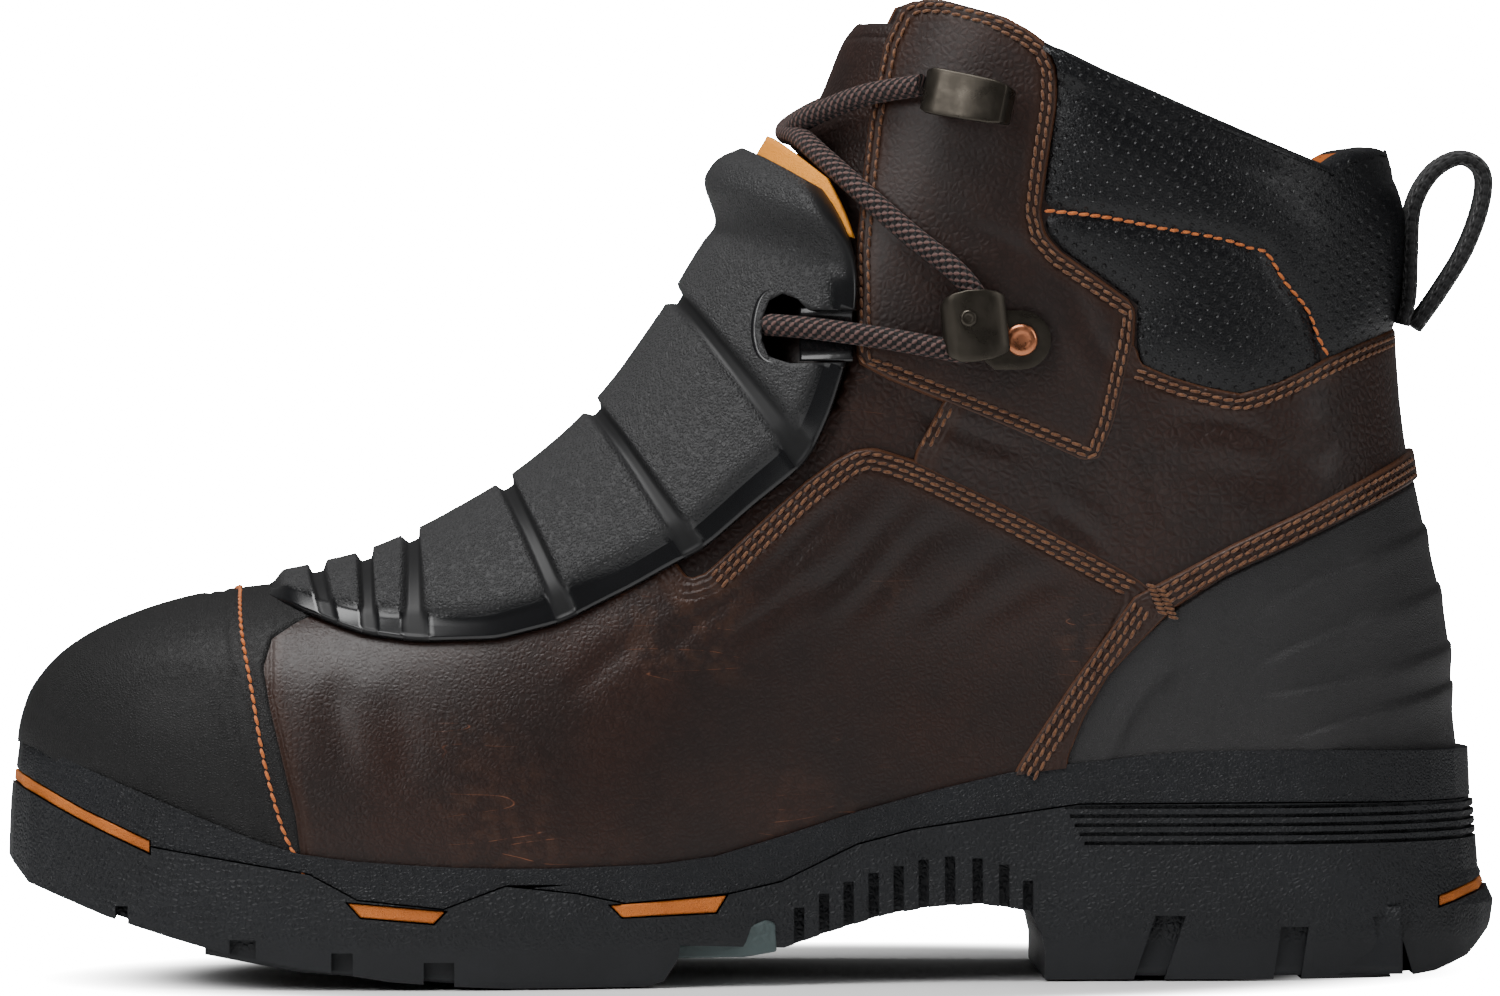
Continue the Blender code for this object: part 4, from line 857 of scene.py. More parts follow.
# The roll starts on the collar panel, goes over the top edge and down the inside
ROLL_STATIONS, ROLL_TURN, ROLL_DEPTH = 90, 16, 14
walk = 0.5 - 0.5 * np.cos(np.linspace(0.0, math.pi, ROLL_STATIONS + 1))
roll_x = 55.0 + (132.85 - 55.0) * walk
roll_z = np.interp(roll_x, *zip(*COLLAR_LINE))
roll_x = np.concatenate([roll_x, roll_x[-2::-1]])
roll_z = np.concatenate([roll_z, roll_z[-2::-1]])
roll_side = np.concatenate([-np.ones(ROLL_STATIONS + 1), np.ones(ROLL_STATIONS)])
roll_shut = np.arange(len(roll_x)) == ROLL_STATIONS
front_fade = ease((roll_x - 56.0) / 10.0)
roll_grid, roll_depths = [], []
for k in range(ROLL_TURN + 1):
    turn = math.pi * k / ROLL_TURN
    rise = -2.2 + 5.05 * math.cos(turn)
    rise = rise * front_fade + (-1.1 + 1.2 * math.cos(turn)) * (1.0 - front_fade)
    place, normal = on_last(roll_x, roll_z - 2.8, roll_side, rise, roll_shut)
    place[:, 2] += (0.9 + 2.6 * math.sin(turn) * (0.4 + 0.6 * front_fade)) * MM
    roll_grid.append(place)
    roll_depths.append(np.full(len(roll_x), -6.0 * math.cos(turn)))
for k in range(1, ROLL_DEPTH + 1):
    drop = 36.0 * k / ROLL_DEPTH
    rise = -7.25 + 4.6 * ease(k / ROLL_DEPTH)
    rise = rise * front_fade - 2.4 * (1.0 - front_fade)
    place, normal = on_last(roll_x, roll_z - 2.8 - drop, roll_side, rise, roll_shut)
    place[:, 2] += 0.9 * MM
    roll_grid.append(place)
    roll_depths.append(np.full(len(roll_x), 6.0 + drop))
roll_grid = np.array(roll_grid)
roll = sheet_mesh("collar_roll", roll_grid, depth=np.array(roll_depths),
                  px=np.broadcast_to(roll_x, roll_grid.shape[:2]),
                  pz=np.broadcast_to(roll_z, roll_grid.shape[:2]) - np.array(roll_depths))
roll_skin = padded_black("roll_skin", False)
roll_tree = roll_skin.node_tree
roll_surface = roll_tree.nodes["Principled BSDF"]
inner = span(roll_tree, attribute(roll_tree, "depth"), 2.6, 3.2)
roll_link = roll_surface.inputs["Base Color"].links[0].from_socket
roll_tree.links.new(blend_colours(roll_tree, inner, roll_link, (0.42, 0.100, 0.012)),
                    roll_surface.inputs["Base Color"])
settle(roll, roll_skin, "collar")

# Lining
# Inside, an orange mesh lines the collar and a dark grey one the foot. It stops at the insole.
lining_field = np.minimum(BELOW_COLLAR, hull_field)
lining = panel("inner_lining", lining_field, GRID_Z - feather(GRID_X) - 0.5,
               lambda inside, x, z, side: np.full(x.shape, -WALL - 0.3), [0.0])
lining_mesh, lining_tree, lining_surface = surface("lining_mesh", (0.45, 0.12, 0.02), 0.85,
                                                   sheen=0.3)
weave = use_group(lining_tree, PINHOLES, Along=attribute(lining_tree, "px"),
                  Up=attribute(lining_tree, "pz"), Pitch=1.4, Radius=0.4)
lining_split = span(lining_tree, attribute(lining_tree, "inside"), 44.0, 45.0)
lining_shade = blend_colours(lining_tree, lining_split, (0.40, 0.10, 0.015),
                             (0.022, 0.022, 0.024))
# Painted shade: the openings of the weave are painted dark brown.
lining_shade = blend_colours(lining_tree, weave["Hole"], lining_shade, (0.02, 0.009, 0.005))
lining_tree.links.new(lining_shade, lining_surface.inputs["Base Color"])
bump(lining_tree, lining_surface, math_node(lining_tree, "MULTIPLY", weave["Rim"], -1.0),
     0.3 * MM)
settle(lining, lining_mesh, "lining")

# Tongue
# A padded tongue stands inside the throat behind the laces, brown leather in front and dark
# cloth behind, its top edge a little below the front of the collar.
share_grid = np.broadcast_to(np.concatenate([SHARES[::-1], SHARES[1:]]), GRID_X.shape)
TONGUE = [(-26, 100), (-26, 199.8), (16, 202.4), (22, 203.2), (30, 202.6), (44, 199.6),
          (60, 196), (60, 100)]
tongue_field = np.minimum(depth_inside(TONGUE, GRID_X, GRID_Z), (0.413 - share_grid) * 60.0)
tongue = panel("tongue_pad", tongue_field, GRID_Z - feather(GRID_X) - 40.0,
               lambda inside, x, z, side: -2.5 - 1.6 * (1.0 - rounded(inside / 5.0, 2.0)),
               [0.0, 0.6, 1.8])


def applied(thing, modifier):
    bpy.context.view_layer.objects.active = thing
    thing.select_set(True)
    bpy.ops.object.modifier_apply(modifier=modifier)
    thing.select_set(False)


pad = tongue.modifiers.new("pad", "SOLIDIFY")
pad.thickness = 4.6 * MM
pad.offset = -1.0
pad.material_offset = 1
applied(tongue, "pad")
flat = np.zeros(3 * len(tongue.data.vertices))
tongue.data.vertices.foreach_get("co", flat)
ridge_x = np.interp(flat[2::3] / MM, RIDGE_LINE[:, 1], RIDGE_LINE[:, 0])
flat[0::3] = np.maximum(flat[0::3], (ridge_x + 1.2) * MM)
tongue.data.vertices.foreach_set("co", flat)
settle(tongue, hide("tongue_leather", BROWN, RUST, 0.50, 1.3, 0.10, rows=(3.5, NO_ROW, NO_ROW)),
       "tongue", "tongue")
tongue.data.materials.append(suede)

# Metatarsal guard
# A moulded guard bends over the instep. Its grained plates are parted by grooves, and a glossy
# flange runs round the edge. A slot at the ankle lets the lace through, and a lip rolls up.
GUARD_ROWS = [(-101.6, -101.9, 79.2, 3.6, 2.4), (-99.0, -96.5, 76.6, 5.0, 2.4),
              (-92.8, -90.4, 74.6, 5.6, 2.4), (-91.6, -89.2, 74.2, 4.2, 2.4),
              (-90.2, -87.6, 73.6, 5.8, 2.4), (-81.8, -82.0, 72.0, 6.2, 2.4),
              (-80.6, -80.4, 71.8, 4.4, 2.4), (-79.2, -78.8, 71.6, 6.4, 2.4),
              (-71.2, -73.6, 71.0, 6.6, 2.4), (-69.8, -71.0, 70.8, 4.6, 2.4),
              (-68.2, -68.0, 70.8, 6.6, 2.4), (-59.0, -54.0, 71.4, 6.8, 2.4),
              (-50.2, -41.5, 74.6, 6.6, 2.4), (-48.6, -39.2, 75.6, 4.6, 2.4),
              (-47.0, -37.0, 76.6, 6.6, 2.4), (-38.0, -26.0, 82.0, 6.8, 2.4),
              (-29.9, -14.8, 88.4, 6.6, 2.4), (-28.7, -12.0, 89.8, 4.6, 2.4),
              (-27.2, -9.5, 91.4, 6.6, 2.4), (-19.0, 0.5, 100.0, 6.8, 2.4),
              (-11.8, 8.5, 106.4, 6.6, 2.4), (-10.6, 11.0, 108.8, 4.6, 2.4),
              (-9.4, 13.6, 112.2, 6.8, 2.4), (-6.6, 19.6, 127.0, 7.0, 3.2),
              (-3.4, 23.2, 142.0, 7.0, 3.6), (-1.0, 23.3, 150.5, 6.2, 4.0),
              (2.2, 22.1, 157.0, 13.6, 5.4), (5.0, 20.0, 162.0, 12.8, 5.9),
              (7.2, 17.8, 165.6, 8.0, 6.0)]
GUARD_STEP = 0.4
guard_table = np.array(GUARD_ROWS)


def blurred(values, reach):
    """A running mean that keeps both ends."""
    kernel = np.ones(2 * reach + 1) / (2 * reach + 1)
    extended = np.concatenate([2 * values[0] - values[reach:0:-1], values,
                               2 * values[-1] - values[-2:-reach - 2:-1]])
    return np.convolve(extended, kernel, mode="valid")


def guard_grid(rows, lengthwise, shares):
    """Side-view places of a grid that spans from one edge over the ridge to the other."""
    ridge = lengthwise[:, None]
    ridge_z = np.interp(ridge, RIDGE_LINE[:, 0], RIDGE_LINE[:, 1])
    edge_x = blurred(np.interp(lengthwise, rows[:, 0], rows[:, 1]), 4)[:, None]
    edge_z = blurred(np.interp(lengthwise, rows[:, 0], rows[:, 2]), 4)[:, None]
    share = np.concatenate([shares[::-1], shares[1:]])[None, :]
    side = np.concatenate([-np.ones(len(shares)), np.ones(len(shares) - 1)])
    x = ridge + (edge_x - ridge) * share
    z = ridge_z + (edge_z - ridge_z) * share
    shut = np.broadcast_to(share == 0.0, x.shape)
    return x, z, np.broadcast_to(side, x.shape), shut


lengthwise = np.arange(guard_table[0, 0], guard_table[-1, 0], GUARD_STEP)
guard_shares = np.concatenate([np.linspace(0, 0.93, 26)[:-1] ** 1.7, np.linspace(0.884, 1, 26)])
guard_x, guard_z, guard_side, guard_shut = guard_grid(guard_table, lengthwise, guard_shares)
flat = on_last(guard_x, guard_z, guard_side, 0.0, guard_shut)[0]
run = np.linalg.norm(np.diff(flat, axis=1), axis=2) / MM
from_left = np.concatenate([np.zeros((len(lengthwise), 1)), np.cumsum(run, axis=1)], axis=1)
from_edge = np.minimum(from_left, from_left[:, -1:] - from_left)
ridge_rise = np.interp(lengthwise, RIDGE_LINE[:, 0], RIDGE_LINE[:, 1])
ridge_run = np.cumsum(np.hypot(np.gradient(lengthwise), np.gradient(ridge_rise)))
groove = np.zeros(len(lengthwise))
GROOVE_ROWS = (3, 6, 9, 13, 17, 21)
for row in GROOVE_ROWS:
    middle = np.interp(guard_table[row, 0], lengthwise, ridge_run)
    groove = np.maximum(groove, np.clip(1.35 - ((ridge_run - middle) / 1.9) ** 2, 0.0, 1.0))
plain_rows = [k for k in range(len(GUARD_ROWS)) if k not in GROOVE_ROWS]
plate_top = np.interp(lengthwise, guard_table[plain_rows, 0], guard_table[plain_rows, 3])
plate_top = blurred(plate_top, 2)
under_rise = np.interp(lengthwise, guard_table[:, 0], guard_table[:, 4])
lip = ease((lengthwise + 4.0) / 4.0)[:, None]
in_plate = ease((from_edge - 5.0) / 0.9)
low = under_rise[:, None]
flange = low + 1.0 * rounded(from_edge / 0.7, 2.0) + 0.28 * np.minimum(from_edge, 6.0)
flange = flange - 0.5 * groove[:, None] * ease(from_edge / 1.5)
rolled = low + (plate_top[:, None] - low) * rounded(from_edge / 4.0, 2.0)
raised = flange + (plate_top[:, None] + 0.2 - 2.1 * groove[:, None] - flange) * in_plate
guard_rise = raised * (1.0 - lip) + rolled * lip
front_end = ease((lengthwise - lengthwise[0]) / 2.6)[:, None]
guard_rise = low + (guard_rise - low) * (0.15 + 0.85 * front_end)
guard_top = on_last(guard_x, guard_z, guard_side, guard_rise, guard_shut)[0]
guard_low = on_last(guard_x, guard_z, guard_side, low, guard_shut)[0]
grained = in_plate * (1.0 - groove[:, None]) * front_end
grained = np.where(lip > 0.5, 0.7 * ease((from_edge - 1.0) / 2.0), grained)
glossed = (1.0 - in_plate) * (1.0 - lip) * (1.0 - groove[:, None])


def mend_ridge(grid, near=5, far=8):
    """Lays a parabola over the ridge of a grid, through the columns on its two sides."""
    middle = grid.shape[1] // 2
    inner = (grid[:, middle - near] + grid[:, middle + near]) / 2
    outer = (grid[:, middle - far] + grid[:, middle + far]) / 2
    inner_half = (grid[:, middle + near, 1] - grid[:, middle - near, 1]) / 2
    outer_half = (grid[:, middle + far, 1] - grid[:, middle - far, 1]) / 2
    bend = (outer - inner) / (outer_half ** 2 - inner_half ** 2)[:, None]
    for step in range(1 - near, near):
        off = inner_half * math.copysign((abs(step) / near) ** 0.7, step)
        grid[:, middle + step] = inner + bend * (off ** 2 - inner_half ** 2)[:, None]
        grid[:, middle + step, 1] = inner[:, 1] + off


mend_ridge(guard_top)
mend_ridge(guard_low)
guard = closed_sheet("guard_shell", guard_top, guard_low, plate=grained, gloss=glossed)
SLOT = [(3.0, 131.6), (1.7, 135.0), (1.9, 139.6), (3.4, 143.4), (6.2, 144.8), (9.2, 143.6),
        (11.4, 141.4), (40, 140.8), (40, 130.6), (7.4, 130.2)]


def prism(name, outline, low, high):
    """A solid with a side-view outline between two places across the boot."""
    count = len(outline)
    points = [(x * MM, y * MM, z * MM) for y in (low, high) for x, z in outline]
    faces = [list(range(count)), list(range(2 * count - 1, count - 1, -1))]
    faces += [[k, k + count, (k + 1) % count + count, (k + 1) % count] for k in range(count)]
    mesh = bpy.data.meshes.new(name)
    mesh.from_pydata(points, [], faces)
    welded(mesh)
    return placed(name, mesh)


slot_tool = prism("slot_tool", SLOT, -90.0, 90.0)
cutter = guard.modifiers.new("slot", "BOOLEAN")
cutter.object = slot_tool
cutter.solver = "EXACT"
applied(guard, "slot")
bpy.data.objects.remove(slot_tool)

moulded, moulded_tree, moulded_surface = surface("guard_moulding", (0.012, 0.012, 0.013), 0.30,
                                                 coat=0.2)
moulded_place = place_of(moulded_tree)
moulded_grain = use_group(moulded_tree, GRAIN, Place=moulded_place, Cell=0.85)
plate_mask = attribute(moulded_tree, "plate")
gloss_mask = attribute(moulded_tree, "gloss")
moulded_shade = blend_colours(moulded_tree, plate_mask, (0.0085, 0.0085, 0.0090),
                              (0.0350, 0.0350, 0.0360))
moulded_tree.links.new(blend_colours(moulded_tree, gloss_mask, moulded_shade,
                                     (0.0040, 0.0042, 0.0050)),
                       moulded_surface.inputs["Base Color"])
moulded_tree.links.new(span(moulded_tree, gloss_mask, 0.2, 0.8, 0.50, 0.22),
                       moulded_surface.inputs["Roughness"])
moulded_tree.links.new(span(moulded_tree, gloss_mask, 0.2, 0.8, 0.0, 0.5),
                       moulded_surface.inputs["Coat Weight"])
pebbled = math_node(moulded_tree, "MULTIPLY", moulded_grain["Height"], plate_mask)
bump(moulded_tree, moulded_surface, pebbled, 0.32 * MM)
settle(guard, moulded, "guard", "met_guard")


def run_length(points):
    """Distance along a line at each of its points."""
    return np.concatenate([[0], np.cumsum(np.linalg.norm(np.diff(points, axis=0), axis=1))])


def tube_mesh(name, path, radius, sides):
    """A round strand along a path, closed at both ends, with its length and turn as values."""
    path = np.asarray(path)
    tangent = np.gradient(path, axis=0)
    tangent /= np.linalg.norm(tangent, axis=1, keepdims=True)
    first = np.cross(tangent[0], (0.31, 0.93, 0.17))
    frames = []
    for direction in tangent:
        first = first - direction * np.dot(first, direction)
        first = first / np.linalg.norm(first)
        frames.append((first, np.cross(direction, first)))
    along = run_length(path) / MM
    turn = np.linspace(0.0, 2 * math.pi, sides, endpoint=False)
    radii = np.broadcast_to(radius, (len(path),))
    grid = np.array([p + r * (np.outer(np.cos(turn), u) + np.outer(np.sin(turn), v))
                     for p, r, (u, v) in zip(path, radii, frames)])
    thing = sheet_mesh(name, grid, ring=True,
                       along=np.repeat(along, sides), turn=np.tile(turn, len(path)))
    bm = bmesh.new()
    bm.from_mesh(thing.data)
    bm.verts.ensure_lookup_table()
    bm.faces.new([bm.verts[k] for k in range(sides)])
    bm.faces.new([bm.verts[len(path) * sides - 1 - k] for k in range(sides)])
    bmesh.ops.recalc_face_normals(bm, faces=bm.faces)
    bm.to_mesh(thing.data)
    bm.free()
    return thing


def seen_at(x, z, side, rise):
    """Points at a rise over the last that show at given places in the side view."""
    x, z = np.asarray(x, dtype=float), np.asarray(z, dtype=float)
    at_x, at_z = x.copy(), z.copy()
    for _ in range(6):
        place = on_last(at_x, at_z, side, rise)[0]
        at_x += x - place[..., 0] / MM
        at_z += z - place[..., 2] / MM
    return place


# A smooth bead goes round the front of the slot
bead_points = [(13.0, 129.6), (7.4, 129.3), (2.4, 130.9), (0.8, 134.8), (1.0, 139.8), (2.8, 144.2),
               (6.2, 145.8), (9.8, 144.4), (12.6, 142.0)]
for side, word in ((-1, "medial"), (1, "lateral")):
    bead_line = smooth(bead_points, 8)
    bead_path = seen_at(bead_line[:, 0], bead_line[:, 1], side, 5.8)
    radii = 1.5 * MM * (0.4 + 0.6 * np.sin(np.linspace(0.0, math.pi, len(bead_line))) ** 0.5)
    bead = tube_mesh("slot_bead_" + word, bead_path, radii, 12)
    gloss, gloss_tree, gloss_surface = surface("slot_gloss_" + word, (0.005, 0.005, 0.006), 0.14,
                                               coat=0.6)
    ripple = add(gloss_tree, "ShaderNodeTexNoise", [("Vector", place_of(gloss_tree)),
                                                    ("Scale", 300.0)])
    bump(gloss_tree, gloss_surface, ripple.outputs["Fac"], 0.1 * MM)
    settle(bead, gloss, "guard")
    web_x, web_z = np.meshgrid(np.linspace(9.6, 20.6, 24), np.linspace(130.6, 142.0, 22),
                               indexing="ij")
    web_dip = 0.9 * np.exp(-((web_z - 136.3) / 3.6) ** 4)
    web_top = seen_at(web_x, web_z, side, 4.1 - web_dip)
    web_low = seen_at(web_x, web_z, side, 2.3)
    settle(closed_sheet("slot_web_" + word, web_top, web_low), gloss, "guard")

# Guard lining
# Orange foam stands out above the lip of the guard.
LINING_ROWS = np.array([(1.6, 23.0, 155.4), (2.6, 22.6, 157.4), (5.2, 21.0, 162.2),
                        (8.2, 18.6, 167.6)])
foam_length = np.linspace(1.6, 8.6, 15)
foam_shares = np.linspace(0.0, 1.0, 40) ** 1.3
foam_x, foam_z, foam_side, foam_shut = guard_grid(LINING_ROWS, foam_length, foam_shares)
foam_span = np.sin(np.linspace(0.12, 1.0, 15) * math.pi)[:, None]
foam_rise = 4.9 + 0.9 * np.broadcast_to(foam_span, foam_x.shape)
foam_top = on_last(foam_x, foam_z, foam_side, foam_rise, foam_shut)[0]
foam_low = on_last(foam_x, foam_z, foam_side, 3.7, foam_shut)[0]
mend_ridge(foam_top)
mend_ridge(foam_low)
foam = closed_sheet("guard_foam", foam_top, foam_low)


def mottled(name, plain, first, second, roughness, cell, relief):
    """A finely grained material, mottled between two colours."""
    made, tree, principled = surface(name, plain, roughness)
    grain = use_group(tree, GRAIN, Place=place_of(tree), Cell=cell)
    shade = blend_colours(tree, grain["Mottle"], first, second)
    tree.links.new(shade, principled.inputs["Base Color"])
    bump(tree, principled, grain["Height"], relief * MM)
    return made


orange_foam = mottled("orange_foam", (0.62, 0.22, 0.035), (0.86, 0.30, 0.022),
                      (0.93, 0.35, 0.032), 0.7, 0.5, 0.12)
settle(foam, orange_foam, "lining", "guard_lining")

# Laces
# A round braid leaves each slot of the guard, goes round the middle hook, crosses in front of the
# tongue and ends at the top hook of the other side.
LACE_RADIUS = 2.35
LOWER_STRAND = [(8.0, 136.4, 5.6), (16.0, 136.0, 5.6), (28.0, 134.8, 5.5), (38.0, 133.4, 5.7),
                (44.4, 132.6, 5.7), (47.2, 136.0, 5.7), (47.0, 142.6, 5.7), (43.0, 148.8, 5.4),
                (34.0, 156.5, 4.6), (25.0, 165.0, 4.3), (17.0, 172.6, 3.2), (12.4, 176.8, 2.0)]
UPPER_STRAND = [(12.6, 180.2, 2.0), (18.5, 182.8, 2.7), (27.0, 185.4, 4.2), (38.0, 187.4, 5.4)]
CROSSING = (8.4, 178.6)


def strand(side, forward):
    """Points of one strand; the second one passes in front of the first at the crossing."""
    first, last = [on_last(rows[:, 0], rows[:, 1], way, rows[:, 2])[0]
                   for rows, way in ((np.array([(2.0, 137.0, 3.2)] + LOWER_STRAND), side),
                                     (np.array(UPPER_STRAND), -side))]
    centre = np.array([[(CROSSING[0] - forward) * MM, 0.0, CROSSING[1] * MM]])
    return smooth([tuple(p) for p in np.concatenate([first, centre, last])], 14)


braid, braid_tree, braid_surface = surface("braided_cord", (0.020, 0.017, 0.016), 0.72, sheen=0.05)
run_along, run_turn = attribute(braid_tree, "along"), attribute(braid_tree, "turn")
turns = math_node(braid_tree, "MULTIPLY", run_turn, 7.0 / (2 * math.pi))
lengths = math_node(braid_tree, "MULTIPLY", run_along, 0.50)
one_way = math_node(braid_tree, "FRACT", math_node(braid_tree, "ADD", turns, lengths))
other_way = math_node(braid_tree, "FRACT", math_node(braid_tree, "SUBTRACT", turns, lengths))
one_hump = math_node(braid_tree, "SINE", math_node(braid_tree, "MULTIPLY", one_way, math.pi))
other_hump = math_node(braid_tree, "SINE", math_node(braid_tree, "MULTIPLY", other_way, math.pi))
thread_bump = math_node(braid_tree, "MAXIMUM", one_hump, other_hump)
fleck = math_node(braid_tree, "GREATER_THAN", one_hump, other_hump)
braid_shade = blend_colours(braid_tree, fleck, (0.0060, 0.0050, 0.0050),
                            (0.120, 0.066, 0.058))
# Painted shade: the hollows between the threads are mixed towards near black.
painted_valley_shade = span(braid_tree, thread_bump, 0.55, 0.95, 0.8, 0.0)
braid_shade = blend_colours(braid_tree, painted_valley_shade, braid_shade, (0.004, 0.003, 0.003))
braid_tree.links.new(braid_shade, braid_surface.inputs["Base Color"])
bump(braid_tree, braid_surface, thread_bump, 0.6 * MM)
lace_near = tube_mesh("lace_medial", strand(-1, 0.4), LACE_RADIUS * MM, 28)
settle(lace_near, braid, "lace", "lace")
lace_far = tube_mesh("lace_lateral", strand(1, -1.0), LACE_RADIUS * MM, 28)
settle(lace_far, braid, "lace")

# Hooks and rivets
# Dark plated steel. The middle hook is a curved plate over the lace, on a tab with a round end
# and a copper rivet. The top hook is a plate bent over the lace, left plain.


def metal(name, colour, roughness, metallic, scale, detail, pores, polish, relief):
    """Metal whose roughness and relief follow a fine noise."""
    made, tree, principled = surface(name, colour, roughness, metallic=metallic)
    noise = add(tree, "ShaderNodeTexNoise", [("Vector", place_of(tree)), ("Scale", scale),
                                             ("Detail", detail)]).outputs["Fac"]
    tree.links.new(span(tree, noise, *pores, *polish), principled.inputs["Roughness"])
    bump(tree, principled, noise, relief * MM)
    return made


plated = metal("dark_plated_steel", (0.050, 0.043, 0.034), 0.34, 0.85, 260.0, 5.0, (0.3, 0.7),
               (0.26, 0.44), 0.05)
copper = metal("copper_rivet", (0.50, 0.19, 0.095), 0.30, 1.0, 500.0, 6.0, (0.35, 0.75),
               (0.22, 0.5), 0.08)


def hook_frame(x, z, side):
    """Origin on the last with its rearward, outward and upward directions."""
    origin, normal = on_last(x, z, float(side), 0.0)
    ahead = on_last(x + 1.0, z, float(side), 0.0)[0]
    behind = on_last(x - 1.0, z, float(side), 0.0)[0]
    along = (ahead - behind) / np.linalg.norm(ahead - behind)
    normal = normal - along * np.dot(normal, along)
    normal = normal / np.linalg.norm(normal)
    return origin, along, normal, np.cross(along, normal) * side


def bent_plate(name, frame_at, stations, thickness, tilt=0.0, soften=0.35):
    """A plate along stations of rearward place, rise, and its lower and upper edge."""
    origin, along, normal, up = frame_at
    turned = along * math.cos(tilt) + up * math.sin(tilt)
    across = up * math.cos(tilt) - along * math.sin(tilt)
    grid = np.array([[origin + (turned * a + normal * n + across * (low + (high - low) * t)) * MM
                      for t in np.linspace(0.0, 1.0, 9)] for a, n, low, high in stations])
    thing = sheet_mesh(name, grid)
    solid = thing.modifiers.new("thickness", "SOLIDIFY")
    solid.thickness = thickness * MM
    solid.offset = 0.0
    solid.use_even_offset = True
    edge = thing.modifiers.new("edge", "BEVEL")
    edge.width = soften * MM
    edge.segments = 3
    edge.limit_method = "ANGLE"
    edge.angle_limit = math.radians(50)
    return thing


def round_end(start, end, rise, low, high, steps=7):
    """Stations of a plate whose far end is a half circle between its two edges."""
    middle, radius = (low + high) / 2, (high - low) / 2
    rows = [(start, rise, low, high)]
    for k in range(steps + 1):
        turn = 0.5 * math.pi * k / steps
        half = max(radius * math.cos(turn), 0.12)
        rows.append((end - radius + radius * math.sin(turn), rise, middle - half, middle + half))
    return rows


def dome(name, frame_at, a, u, rise, radius, height):
    """A round rivet head, turned from its profile."""
    origin, along, normal, up = frame_at
    rows = []
    for reach, level in ((1.0, 0.0), (1.0, 0.45), (0.93, 0.75), (0.78, 0.92), (0.55, 1.0),
                         (0.50, 0.93), (0.30, 0.90), (0.0, 0.92)):
        rows.append([origin + (normal * (rise + height * level) + along * a + up * u
                               + (along * math.cos(t) + up * math.sin(t)) * radius * reach) * MM
                     for t in np.linspace(0.0, 2 * math.pi, 33)[:-1]])
    thing = sheet_mesh(name, np.array(rows), ring=True)
    welded(thing.data)
    return thing


for side, word in ((-1, "medial"), (1, "lateral")):
    place = hook_frame(41.5, 137.6, side)
    tab = bent_plate("hook_tab_" + word, place, [(-1.5, 3.0, -4.6, 4.2), (2.0, 3.0, -4.9, 4.6),
                                                 (6.0, 3.0, -6.4, 4.0)]
                     + round_end(9.0, 20.8, 3.0, -9.0, 3.4), 0.9)
    settle(tab, plated, "hook_metal", "mid_hook_" + word)
    body = bent_plate("hook_body_" + word, place,
                      [(-1.2, 2.8, -3.4, 3.4), (-1.6, 5.0, -3.8, 3.8), (-1.5, 7.2, -5.0, 5.0),
                       (-0.7, 8.6, -6.6, 6.2), (1.2, 9.3, -7.6, 7.0), (4.0, 9.6, -7.8, 7.4),
                       (7.4, 9.4, -7.6, 7.2), (9.8, 8.7, -7.0, 6.6), (11.4, 7.6, -6.0, 5.6)],
                      1.2, 0.10)
    settle(body, plated, "hook_metal")
    ball = dome("hook_ball_" + word, place, 3.4, 1.8, 9.9, 1.8, 0.9)
    settle(ball, plated, "hook_metal")
    rivet = dome("rivet_head_" + word, place, 14.6, -2.8, 3.4, 3.4, 1.3)
    settle(rivet, copper, "rivet_metal", "rivet_" + word)
    place = hook_frame(41.4, 185.6, side)
    plate = bent_plate("top_hook_plate_" + word, place,
                       [(-2.6, 3.2, -3.0, 3.6), (-2.9, 5.6, -3.4, 4.0), (-2.5, 7.8, -4.2, 4.6),
                        (-1.2, 8.8, -4.8, 5.0), (1.0, 9.2, -5.0, 4.9), (7.0, 9.3, -5.0, 4.7),
                        (12.6, 9.1, -4.9, 4.4), (14.8, 8.3, -4.5, 3.9), (15.4, 6.4, -4.2, 3.6),
                        (15.2, 3.6, -4.0, 3.4), (13.2, 2.6, -4.0, 3.4)], 1.1, -0.16, 0.45)
    settle(plate, plated, "hook_metal", "top_hook_" + word)

# Pull loop
# Ribbed black webbing, folded into an upright loop behind the collar.
LOOP_PATH = [(138.6, 137.0), (140.2, 143.0), (140.6, 152), (141.4, 162.0), (145.6, 169.4),
             (151.6, 172.4), (156.0, 169.6), (156.0, 163.0), (152.4, 153.0), (146.6, 143.6),
             (141.4, 136.4)]
LOOP_HALF, LOOP_THICK = 8.6, 3.3
loop_line = smooth(LOOP_PATH, 8)
loop_step = np.gradient(loop_line, axis=0)
loop_step /= np.linalg.norm(loop_step, axis=1, keepdims=True)
loop_out = np.stack([-loop_step[:, 1], loop_step[:, 0]], -1)
across = np.linspace(-1.0, 1.0, 17)
swell = LOOP_THICK / 2 * (1.0 - 0.75 * np.abs(across) ** 8)


def loop_face(sign):
    points = loop_line[:, None, :] + sign * loop_out[:, None, :] * swell[None, :, None]
    width = np.broadcast_to(across * LOOP_HALF, points.shape[:2])
    return np.stack([points[..., 0], width, points[..., 1]], -1) * MM


